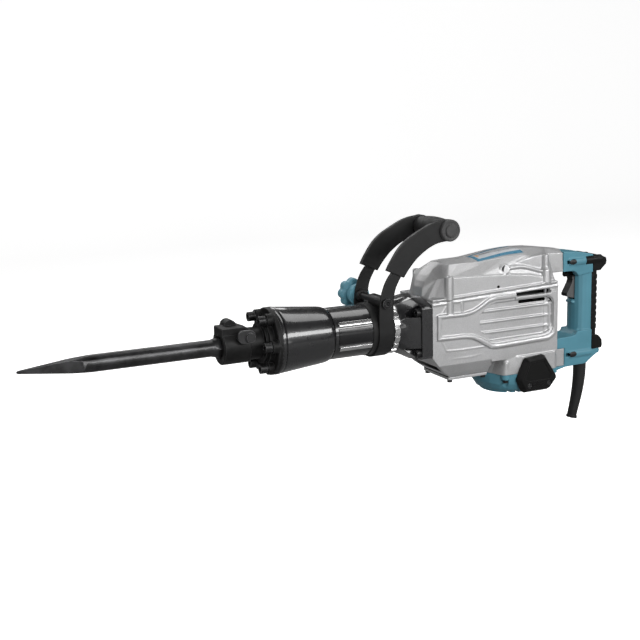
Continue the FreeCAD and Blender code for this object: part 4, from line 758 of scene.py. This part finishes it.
def round_hood_nose(piece):
    """Extra smoothing: the hood's nose is rounder than the rest."""
    bm = bmesh.new()
    bm.from_mesh(piece.data)
    # limits in metres, as in the finished mesh
    nose = [vert for vert in bm.verts
            if vert.co.x < 0.4115 and vert.co.z > 0.060 and abs(vert.co.y) < 0.0235]
    for _ in range(14):
        bmesh.ops.smooth_vert(bm, verts=nose, factor=0.5,
                              use_axis_x=True, use_axis_y=True, use_axis_z=True)
    bm.to_mesh(piece.data)
    bm.free()


def cover_recess(center, normal):
    """Faces painted with shade black: the chamber's roof and walls, and the bottom of the dimples.
    """
    outward = normal.y * (1 if center.y > 0 else -1)
    chamber = (385.0 < center.x < 625.0 and abs(center.y) < 50.0 and center.z < 92.0
               and (normal.z < -0.1 or abs(center.y) < 45.0 and outward < -0.3))
    dimple = (math.hypot(center.x - DIMPLE_X, center.z - DIMPLE_Z) < 2.6
              and abs(center.y) < 56.4)
    return chamber or dimple


gear_cover = casting("gear_cover_shell", gear_cover_solid(), gear_cover_cut(),
                     voxel=0.85, rounds=3)
round_hood_nose(gear_cover)
finish_piece(gear_cover, "cast_alloy", "root", "gear_cover")
# Painted shade in the chamber and the dimples.
second_material(gear_cover, "painted_shade_black", cover_recess)

# ------------------------------------------------------------------ main housing
BARREL_X = 567.0            # the motor barrel is drawn in towards this x
TAIL_RIM_Z = -0.1049        # tail cover vertices above this form its rim; metres
BARREL_LEVELS = [(-104.2, 0.965, 0.972), (-92.0, 0.955, 0.968), (-60.0, 0.90, 0.93)]  # z, scales
# Round column at the barrel's front corner: x, y, radius, z
BARREL_COLUMN = [(524.0, 52.5, 9.0, -104.2), (524.5, 52.2, 8.6, -90.0), (534.0, 48.5, 8.0, -66.0)]
# One side's beads: radius (None where every point has its own), then x, y, z[, radius]
HOUSING_BEADS = [
    # upper and lower rolled rims of the raised frame
    (3.1, [(384.0, 60.6, 18.6), (434.0, 60.6, 17.9), (451.0, 60.6, 20.6), (465.0, 60.6, 26.6),
           (484.0, 60.6, 37.6), (496.0, 60.6, 39.8)]),
    (3.4, [(384.0, 60.4, -20.6), (434.0, 60.4, -21.8), (451.0, 60.4, -24.4),
           (468.0, 60.4, -32.6), (489.0, 60.2, -45.2), (501.0, 60.0, -47.2)]),
    # along the bottom of the frame and up its rear end
    (None, [(490.0, 59.4, -45.6, 4.2), (501.0, 59.4, -47.0, 5.0), (612.0, 59.4, -44.2, 5.0),
            (624.0, 59.4, -37.0, 4.4), (626.5, 59.4, -28.0, 3.8), (626.5, 59.8, 30.0, 3.4),
            (621.0, 59.8, 37.0, 3.2)]),
    # upright rib behind the slats
    (2.8, [(616.5, 55.6, -33.0), (616.5, 55.6, 20.0)]),
    # joint flange of the housing
    (2.2, [(372.5, 58.2, joint_z(372) - 4.0), (633.0, 58.2, joint_z(633) - 4.0)]),
    # ribs above the upper rim and below the lower one
    (1.2, [(399.0, 58.6, 38.0), (389.0, 58.6, 23.0)]),
    (2.6, [(429.0, 58.4, 38.0), (430.0, 58.4, 22.0)]),
    (1.3, [(388.0, 58.6, -25.0), (398.0, 58.6, -44.0), (430.0, 58.6, -45.5),
           (483.0, 58.6, -45.0)]),
]
# Belly of the crankcase: x, y, z
BELLY = [
    (380.0, 57.0, -54.0), (392.0, 58.6, -58.0), (412.0, 59.4, -60.0), (446.0, 59.6, -60.5),
    (484.0, 59.0, -57.0), (498.0, 57.4, -54.0), (392.0, 50.0, -80.0), (412.0, 42.5, -95.5),
    (489.0, 42.5, -95.5), (498.0, 48.0, -84.0), (446.0, 53.5, -80.0), (412.0, 52.0, -80.0),
    (484.0, 52.5, -80.0), (384.0, 52.0, -66.0), (412.0, 40.0, -60.0), (489.0, 40.0, -60.0)]


def housing_solid():
    bm = solid_from_node("main_housing")
    # The motor barrel is drawn down from the body onto the tail cover's rim.
    rim = [(vert.co.x / mm, vert.co.y / mm) for vert in NODES["tail_cover"].data.vertices
           if vert.co.z > TAIL_RIM_Z]
    turns = [2 * math.pi * k / 20 for k in range(20)]
    for side in SIDES:
        barrel = [(BARREL_X + (x - BARREL_X) * length_scale, y * width_scale, z)
                  for x, y in rim if side * y > 20.0 and 497.0 < x < 632.0
                  for z, length_scale, width_scale in BARREL_LEVELS]
        column = [(x + radius * math.cos(t), side * (y + radius * math.sin(t)), z)
                  for x, y, radius, z in BARREL_COLUMN for t in turns]
        add_hull(bm, barrel + column)
    for side in SIDES:
        for radius, path in HOUSING_BEADS:
            add_bead(bm, on_side(side, path), radius)
        add_hull(bm, on_side(side, BELLY))
    return bm


def housing_recess(center, normal):
    """Faces painted with shade black: everything deep inside the frame, and the flat floor of the
    window at its upper rear.
    """
    depth = abs(center.y)
    window = (530.0 < center.x < 620.0 and 20.0 < center.z < 38.5 and depth < 59.6
              and abs(normal.y) < 0.55)
    return 380.0 < center.x < 630.0 and -50.0 < center.z < 55.0 and (depth < 52.6 or window)


housing = casting("main_housing_shell", housing_solid(), voxel=1.0, rounds=3)
finish_piece(housing, "cast_alloy", "root", "main_housing")
# Painted shade inside the frame and on the window floor.
second_material(housing, "painted_shade_black", housing_recess)

# ------------------------------------------------------------------ rear D handle
# Conical scoops in the handle's sides: one pair at each place (x, z)
SCOOPS = [(690.4, 83.3), (693.6, -93.3)]
SCOOP_START_X, SCOOP_START_Y = -7.0, 34.0   # axis start: x from the scoop's place, y
SCOOP_END_X, SCOOP_END_Y = 11.0, 20.0


def handle_solid():
    bm = solid_from_node("handle_front_shell")
    # finger stop under the trigger
    add_hull(bm, [point for x, y, z in ((705.4, -7.0, 4.0), (705.4, 7.0, 4.0),
                                        (712.0, -9.0, 1.0), (712.0, 9.0, 1.0))
                  for point in ball_points((x, y, z), 3.0)])
    # gusset where the grip meets the lower arm
    add_hull(bm, [(x, y, z) for y in (-17.0, 17.0)
                  for x, z in ((698.0, -57.8), (716.0, -57.8), (716.0, -44.0), (709.0, -53.5))])
    return bm


def handle_cut():
    cut = bmesh.new()
    for side in SIDES:
        for x, z in SCOOPS:
            add_cylinder(cut, (x + SCOOP_START_X, side * SCOOP_START_Y, z),
                         (x + SCOOP_END_X, side * SCOOP_END_Y, z), 5.1, 4.9, segments=32)
    return cut


# Faces inside the handle's scoops, which get painted shade.
def in_scoop(center, normal):
    side = math.copysign(1.0, center.y)
    along = Vector((SCOOP_END_X - SCOOP_START_X, side * (SCOOP_END_Y - SCOOP_START_Y),
                    0.0)).normalized()
    for x, z in SCOOPS:
        offset = center - Vector((x + SCOOP_START_X, side * SCOOP_START_Y, z))
        depth = offset.dot(along)
        if (offset - along * depth).length < 5.3 and 0 < depth < 26:
            return True
    return False


handle = casting("handle_front_shell_skin", handle_solid(), handle_cut(), voxel=0.85, rounds=4)
finish_piece(handle, "teal_plastic", "root", "handle_front_shell")
# Painted shade in the scoops.
second_material(handle, "painted_shade_black", in_scoop)

rear_cover = casting("handle_rear_cover_skin", solid_from_node("handle_rear_cover"),
                     voxel=0.8, rounds=4)
finish_piece(rear_cover, "black_plastic", "root", "handle_rear_cover")

# ------------------------------------------------------------------ front cover
# Flange, groove, straight taper, rounded rear end and inside: x, radius
FRONT_COVER_PROFILE = [
    (92.0, 34.6), (92.0, 56.5), (92.25, 56.95), (92.8, 57.2), (97.2, 57.2), (97.8, 56.9),
    (98.1, 56.3), (98.2, 55.0), (98.7, 54.6), (99.2, 54.9), (99.5, 55.5), (100.2, 56.0),
    (101.5, 56.2), (104.0, 56.05), (118.0, 54.7), (134.0, 53.1), (150.0, 51.5), (166.0, 49.95),
    (178.0, 48.75), (182.0, 48.2), (185.0, 47.6), (187.6, 46.7), (189.6, 45.6), (191.0, 44.3),
    (191.8, 42.8), (192.0, 41.2), (192.0, 40.1), (188.0, 40.1), (188.0, 34.6)]


def make_front_cover():
    bm = bmesh.new()
    add_lathe(bm, FRONT_COVER_PROFILE, steps=128)
    piece = to_object(bm, "front_cover_shell")
    shade_smooth(piece.data)
    piece.data.set_sharp_from_angle(angle=math.radians(40))
    return piece


finish_piece(make_front_cover(), "black_gloss", "root", "front_cover")

# ------------------------------------------------------------------ front handle
CLAMP_X, CLAMP_Z = 285.0, 51.0              # axis of the clamp rod, which runs along Y
CLAMP_BORE = 5.1
BAND_FRONT, BAND_REAR = 272.0, 299.5
BAND_INNER, BAND_OUTER = 46.0, 49.5         # radii; the straps have the same offsets in Y
ARM_INNER, ARM_OUTER = 44.0, 52.0
# Side outlines: x, z
ARM_OUTLINE = [
    (286.5, 106.5, "corner"), (291.5, 116.0), (300.0, 128.8), (308.5, 140.5), (318.0, 150.0),
    (328.0, 157.6), (339.0, 163.8), (354.0, 171.5), (370.5, 178.8), (385.0, 182.6),
    (400.0, 184.5), (409.0, 185.0), (418.0, 183.0), (425.0, 176.5), (428.0, 168.0),
    (427.0, 159.0), (421.0, 151.5), (412.0, 148.0), (397.0, 147.0), (383.0, 144.5),
    (370.0, 139.3), (361.0, 134.2), (352.4, 128.4), (343.0, 120.8), (334.7, 112.2),
    (326.5, 102.4), (319.2, 92.0, "corner")]
STRAP_OUTLINE = [
    (BAND_FRONT, -1.0, "corner"), (BAND_REAR, -1.0, "corner"), (299.6, 30.0), (300.6, 55.0),
    (303.0, 70.0), (308.0, 82.0), (318.0, 98.0), (331.0, 113.0, "corner"),
    (320.0, 124.5, "corner"), (306.0, 113.0), (292.0, 98.0), (283.0, 84.0), (276.5, 66.0),
    (273.0, 45.0), (BAND_FRONT, 20.0)]


def add_on_clamp_axis(bm, start, end, radius, end_radius=None):
    """Cylinder on the clamp axis between two values of y."""
    add_cylinder(bm, (CLAMP_X, start, CLAMP_Z), (CLAMP_X, end, CLAMP_Z), radius, end_radius)


def make_saddle():
    """Block between the straps, resting on the barrel."""
    bm = bmesh.new()
    add_on_clamp_axis(bm, -45.9, -1.5, 10.8)
    add_on_clamp_axis(bm, -2.5, 40.0, 7.0) if False else add_cylinder(
        bm, (CLAMP_X, -2.5, CLAMP_Z), (CLAMP_X, 40.0, CLAMP_Z), 7.0, segments=48)
    return bm


def make_saddle():
    """Block between the straps, resting on the barrel."""
    bm = bmesh.new()
    for start, end, radius in ((-45.9, -1.5, 10.8), (-2.5, 40.0, 7.0), (36.5, 45.9, 10.8)):
        add_cylinder(bm, (CLAMP_X, start, CLAMP_Z), (CLAMP_X, end, CLAMP_Z), radius, segments=48)
    # foot on the barrel
    add_hull(bm, [(x, y, z) for x in (276.0, 294.0) for y in (-17.0, 17.0) for z in (40.0, 46.0)]
             + [(x, y, 52.0) for x in (280.0, 290.0) for y in (-16.0, 16.0)])
    cut = bmesh.new()
    add_cylinder(cut, (240.0, 0.0, 0.0), (330.0, 0.0, 0.0), BAND_INNER, segments=128)
    add_on_clamp_axis(cut, -60.0, 60.0, CLAMP_BORE)
    return casting("clamp_saddle_skin", bm, cut, voxel=0.65, rounds=2)


def make_arm(side, name):
    bm = bmesh.new()
    add_prism(bm, smooth_outline(ARM_OUTLINE), "Y", side * ARM_INNER, side * ARM_OUTER)
    return casting(name, bm, voxel=0.75, rounds=3)


def make_band():
    """Half ring under the barrel with a strap rising on each side."""
    bm = bmesh.new()
    profile = [(BAND_FRONT, BAND_INNER), (BAND_REAR, BAND_INNER), (BAND_REAR, BAND_OUTER),
               (BAND_FRONT, BAND_OUTER)]
    add_lathe(bm, profile, steps=96, start=math.pi, sweep=math.pi)
    for side in SIDES:
        add_prism(bm, smooth_outline(STRAP_OUTLINE), "Y", side * BAND_INNER, side * BAND_OUTER)
    cut = bmesh.new()
    add_on_clamp_axis(cut, -60.0, 60.0, CLAMP_BORE)
    return casting("handle_band_skin", bm, cut, voxel=0.7, rounds=2)


def make_knob():
    """Eight-lobed clamp knob on the +Y side."""
    bm = bmesh.new()
    lobes = []
    for k in range(120):
        turn = 2 * math.pi * k / 120
        wave = math.cos(8 * turn)
        radius = 26.0 + 1.1 * wave - 1.5 * max(0.0, -wave) ** 3
        lobes.append((CLAMP_X + radius * math.cos(turn), CLAMP_Z + radius * math.sin(turn)))
    # Three stacked slabs crown both faces.
    for scale, start, end in ((1.0, 70.5, 84.0), (0.93, 68.6, 86.6), (0.80, 67.8, 87.9)):
        outline = [(CLAMP_X + (x - CLAMP_X) * scale, CLAMP_Z + (z - CLAMP_Z) * scale)
                   for x, z in lobes]
        add_prism(bm, outline, "Y", start, end)
    # neck and collar
    add_on_clamp_axis(bm, 60.0, 69.0, 14.6, 16.5)
    add_on_clamp_axis(bm, 49.9, 61.5, 19.8, 18.6)
    cut = bmesh.new()
    add_on_clamp_axis(cut, 40.0, 84.0, CLAMP_BORE)
    return casting("clamp_knob_skin", bm, cut, voxel=0.7, rounds=6)


finish_piece(make_saddle(), "black_satin", "front_handle", "clamp_saddle")
for arm_side, arm_name in ((-1, "front_arm_right"), (1, "front_arm_left")):
    finish_piece(make_arm(arm_side, arm_name + "_skin"), "black_satin", "front_handle", arm_name)
finish_piece(make_band(), "black_satin", "front_handle", "handle_band")
finish_piece(make_knob(), "teal_plastic", "clamp_knob", "clamp_knob", material="teal_knob")

# ------------------------------------------------------------------ trigger and small parts
TRIGGER_HALF_WIDTH = 8.8
# Side outline: x, z
TRIGGER_OUTLINE = [
    (704.0, 51.5), (705.4, 45.5), (703.0, 39.0), (698.4, 31.0), (692.6, 21.0), (692.0, 17.5),
    (693.8, 14.8), (707.6, 11.0), (712.5, 11.6), (714.3, 14.0), (714.3, 53.0), (705.0, 53.0)]


def make_trigger():
    bm = bmesh.new()
    add_prism(bm, TRIGGER_OUTLINE, "Y", -TRIGGER_HALF_WIDTH, TRIGGER_HALF_WIDTH)
    return casting("trigger_lever", bm, voxel=0.5, rounds=3)


trigger = finish_piece(make_trigger(), "trigger_plastic", "trigger", "trigger")
# Painted light and shade: one moulding is black on the face that looks forwards and grey on its
# sides, picked by face direction.
second_material(trigger, "black_plastic", lambda center, normal: normal.x < -0.45)

# CAD pieces whose finish differs from their slot's
for part_name, finish in (("grease_plug", "plug_dark"), ("lock_button", "black_plastic"),
                          ("grip_end_caps", "cap_grey")):
    set_material(bpy.data.objects[part_name], finish)

# ------------------------------------------------------------------ label on the gear cover's top
# Corners (x, y): the front pair, then the rear pair, each from -Y to +Y
LABEL_FRONT = ((478.0, -35.5), (474.5, -1.0))
LABEL_REAR = ((576.0, -33.0), (571.5, 14.0))
LABEL_LENGTH_STEPS, LABEL_WIDTH_STEPS = 60, 26
LABEL_SMOOTHING = 6
# metres
LABEL_RAY_TOP = 0.2
LABEL_MISS_Z = 0.105
LABEL_LIFT = 0.00035
LABEL_THICKNESS = 0.0003


def label_point(u, v):
    """Point of the gear cover's top under the label position u (length), v (width)."""
    x, y = [(LABEL_FRONT[0][k] * (1 - u) + LABEL_REAR[0][k] * u) * (1 - v)
            + (LABEL_FRONT[1][k] * (1 - u) + LABEL_REAR[1][k] * u) * v for k in (0, 1)]
    hit, place, _, _ = gear_cover.ray_cast(Vector((x * mm, y * mm, LABEL_RAY_TOP)),
                                           Vector((0, 0, -1)))
    return Vector((x * mm, y * mm, place.z if hit else LABEL_MISS_Z))


def smoothed_heights(grid):
    """Moves each height halfway to its neighbours' mean."""
    rows, columns = len(grid), len(grid[0])
    result = [[point.copy() for point in row] for row in grid]
    for i in range(rows):
        for j in range(columns):
            near = [grid[a][b].z for a, b in ((i - 1, j), (i + 1, j), (i, j - 1), (i, j + 1))
                    if 0 <= a < rows and 0 <= b < columns]
            result[i][j].z = 0.5 * grid[i][j].z + 0.5 * sum(near) / len(near)
    return result


def make_label():
    length, width = LABEL_LENGTH_STEPS, LABEL_WIDTH_STEPS
    grid = [[label_point(i / length, j / width) for j in range(width + 1)]
            for i in range(length + 1)]
    # The label bridges small dips like stiff film.
    for _ in range(LABEL_SMOOTHING):
        grid = smoothed_heights(grid)
    bm = bmesh.new()
    verts = [[bm.verts.new(point + Vector((0, 0, LABEL_LIFT))) for point in row]
             for row in grid]
    for i in range(length):
        for j in range(width):
            bm.faces.new((verts[i][j], verts[i + 1][j], verts[i + 1][j + 1], verts[i][j + 1]))
    mesh = bpy.data.meshes.new("label_base")
    bm.to_mesh(mesh)
    bm.free()
    layer = mesh.uv_layers.new(name="strip")
    for loop in mesh.loops:
        row, column = divmod(loop.vertex_index, width + 1)
        layer.data[loop.index].uv = (row / length, column / width)
    shade_smooth(mesh)
    sheet = bpy.data.objects.new("label_base", mesh)
    scene.collection.objects.link(sheet)
    thickness = sheet.modifiers.new("thick", "SOLIDIFY")
    thickness.thickness = LABEL_THICKNESS
    thickness.offset = -1
    piece = baked(sheet, "label_strip")
    shade_smooth(piece.data)
    return piece


def label_print(name):
    """Teal and white film with plain blocks and rules, no lettering."""
    mat = MaterialBuilder(name, (0.5, 0.6, 0.65), metallic=0.0, roughness=0.28, coat=0.4)
    uv_map = mat.new("ShaderNodeUVMap", uv_map="strip")
    split = mat.new("ShaderNodeSeparateXYZ")
    mat.link(uv_map.outputs[0], split.inputs[0])
    u, v = split.outputs[0], split.outputs[1]

    def band(value, low, high):
        return mat.math("MULTIPLY", mat.math("GREATER_THAN", value, low),
                        mat.math("LESS_THAN", value, high))

    teal, white, ink = (0.075, 0.24, 0.36), (0.56, 0.58, 0.60), (0.26, 0.28, 0.31)
    # white field inside teal margins
    color = mat.mix(mat.math("GREATER_THAN", v, 0.20), teal, white)
    color = mat.mix(mat.math("GREATER_THAN", v, 0.86), color, teal)
    color = mat.mix(mat.math("LESS_THAN", u, 0.07), color, teal)
    # printed blocks: u from, u to, v from, v to, colour
    blocks = [(0.10, 0.15, 0.46, 0.74, (0.75, 0.36, 0.12)), (0.18, 0.44, 0.56, 0.70, ink)]
    blocks += [(0.50, 0.92, low, low + 0.02, ink) for low in (0.42, 0.47, 0.76, 0.80)]
    for u_low, u_high, v_low, v_high, block_color in blocks:
        inside = mat.math("MULTIPLY", band(u, u_low, u_high), band(v, v_low, v_high))
        color = mat.mix(inside, color, block_color)
    dirt = mat.ramp(mat.noise(scale=220.0, detail=3.0), grey(0.7), grey(1))
    mat.set("Base Color", mat.mix(0.12, color, dirt, mode="MULTIPLY"))
    mat.noisy_roughness(scale=90.0, detail=3.0, low=0.24, high=0.36)
    mat.grain(scale=900.0, detail=2.0, strength=0.06, depth=0.00004)
    return mat.material


bpy.context.view_layer.update()     # the ray casts need the evaluated gear cover
label = make_label()
MATERIALS["label"] = label_print("mat_label")
finish_piece(label, "teal_plastic", "root", material="label")

# ------------------------------------------------------------------ camera, in metres
CAMERA_PLACE = (-0.5803, -1.6656, 0.3983)
# degrees: turn from +Y towards +X, downward tilt, roll
CAMERA_YAW, CAMERA_TILT, CAMERA_ROLL = 24.64, 11.51, 1.62


def make_camera():
    data = bpy.data.cameras.new("cam")
    data.sensor_width = 36.0
    data.lens = 61.875
    data.clip_end = 50.0
    camera = bpy.data.objects.new("cam", data)
    scene.collection.objects.link(camera)
    yaw, tilt, roll = [math.radians(a) for a in (CAMERA_YAW, CAMERA_TILT, CAMERA_ROLL)]
    forward = Vector((math.sin(yaw) * math.cos(tilt), math.cos(yaw) * math.cos(tilt),
                      -math.sin(tilt)))
    level_right = Vector((math.cos(yaw), -math.sin(yaw), 0.0))
    level_up = level_right.cross(forward)
    right = level_right * math.cos(roll) - level_up * math.sin(roll)
    up = level_right * math.sin(roll) + level_up * math.cos(roll)
    pose = Matrix((right, up, -forward)).transposed().to_4x4()
    pose.translation = CAMERA_PLACE
    camera.matrix_world = pose
    scene.camera = camera


make_camera()

# ------------------------------------------------------------------ floor, in metres
FLOOR_Z = -0.243
FLOOR_HALF_WIDTH = 9
FLOOR_BEND_Y, FLOOR_BEND_RADIUS, FLOOR_BEND_STEPS = 3.0, 2.0, 12
WALL_TOP_Z = 9.0


def floor_material():
    mat = MaterialBuilder("mat_floor", grey(0.90), metallic=0.0, roughness=0.8)
    mat.set("Base Color", mat.ramp(mat.noise(scale=0.8, detail=2.0), grey(0.88), grey(0.92)))
    # The camera sees a glowing white floor; every other ray meets a plain grey one.
    glow = mat.new("ShaderNodeEmission")
    glow.inputs["Color"].default_value = (1, 1, 1, 1)
    glow.inputs["Strength"].default_value = 0.80
    rays = mat.new("ShaderNodeLightPath")
    lit = mat.new("ShaderNodeAddShader")
    choice = mat.new("ShaderNodeMixShader")
    mat.link(mat.principled.outputs[0], lit.inputs[0])
    mat.link(glow.outputs[0], lit.inputs[1])
    mat.link(rays.outputs["Is Camera Ray"], choice.inputs[0])
    matte = mat.new("ShaderNodeBsdfDiffuse")
    matte.inputs["Color"].default_value = (*grey(0.30), 1)
    mat.link(matte.outputs[0], choice.inputs[1])
    mat.link(lit.outputs[0], choice.inputs[2])
    mat.link(choice.outputs[0], mat.output.inputs[0])
    return mat.material


def make_floor():
    """Flat floor that bends up into a wall behind the tool."""
    profile = [(y, FLOOR_Z) for y in (-7.0, -3.0, 1.5, FLOOR_BEND_Y)]      # y, z
    for i in range(1, FLOOR_BEND_STEPS + 1):
        t = math.radians(90 * i / FLOOR_BEND_STEPS)
        profile.append((FLOOR_BEND_Y + FLOOR_BEND_RADIUS * math.sin(t),
                        FLOOR_Z + FLOOR_BEND_RADIUS * (1 - math.cos(t))))
    profile.append((FLOOR_BEND_Y + FLOOR_BEND_RADIUS, WALL_TOP_Z))
    points = [(side * FLOOR_HALF_WIDTH, y, z) for y, z in profile for side in SIDES]
    faces = [(2 * i, 2 * i + 1, 2 * i + 3, 2 * i + 2) for i in range(len(profile) - 1)]
    mesh = bpy.data.meshes.new("floor")
    mesh.from_pydata(points, [], faces)
    shade_smooth(mesh)
    floor = bpy.data.objects.new("floor", mesh)
    scene.collection.objects.link(floor)
    mesh.materials.append(floor_material())


make_floor()

# ------------------------------------------------------------------ light
WORLD_STRENGTH = 0.20
WORLD_CAMERA_EXTRA = 0.80       # added where the camera sees the world
WORLD_GLOSSY_LOSS = 0.12        # taken off in reflections


def make_world():
    world = bpy.data.worlds.new("world")
    scene.world = world
    world.use_nodes = True
    tree = world.node_tree
    background = tree.nodes["Background"]
    background.inputs["Color"].default_value = (1, 1, 1, 1)
    rays = tree.nodes.new("ShaderNodeLightPath").outputs
    extra = math_node(tree, "MULTIPLY", (rays["Is Camera Ray"], WORLD_CAMERA_EXTRA))
    strength = math_node(tree, "ADD", (WORLD_STRENGTH, extra))
    loss = math_node(tree, "MULTIPLY", (rays["Is Glossy Ray"], WORLD_GLOSSY_LOSS))
    strength = math_node(tree, "SUBTRACT", (strength, loss))
    tree.links.new(strength, background.inputs["Strength"])


def add_area_light(name, place, target, size, power):
    data = bpy.data.lights.new(name, "AREA")
    data.energy = power
    data.shape = "RECTANGLE"
    data.size, data.size_y = size
    light = bpy.data.objects.new(name, data)
    light.location = place
    direction = Vector(target) - Vector(place)
    light.rotation_euler = direction.to_track_quat("-Z", "Y").to_euler()
    scene.collection.objects.link(light)


make_world()
# name, place, target, size (width, height), power in watts
for light_settings in (
        ("key", (0.80, -1.74, 0.70), (0.22, 0.0, 0.02), (2.5, 0.44), 34.0),
        ("top", (0.88, 0.24, 1.56), (0.62, 0.0, 0.0), (1.6, 0.62), 9.0),
        ("left", (-1.75, 0.0, 0.75), (0.35, 0.0, 0.0), (0.9, 0.9), 9.0),
        ("back", (-0.1, 1.35, 0.95), (0.1, 0.0, 0.0), (2.2, 0.45), 9.0),
        ("low", (0.1, -2.0, 0.02), (0.3, 0.0, -0.02), (2.6, 0.25), 4.0)):
    add_area_light(*light_settings)

scene.view_settings.view_transform = "Standard"
scene.view_settings.look = "None"
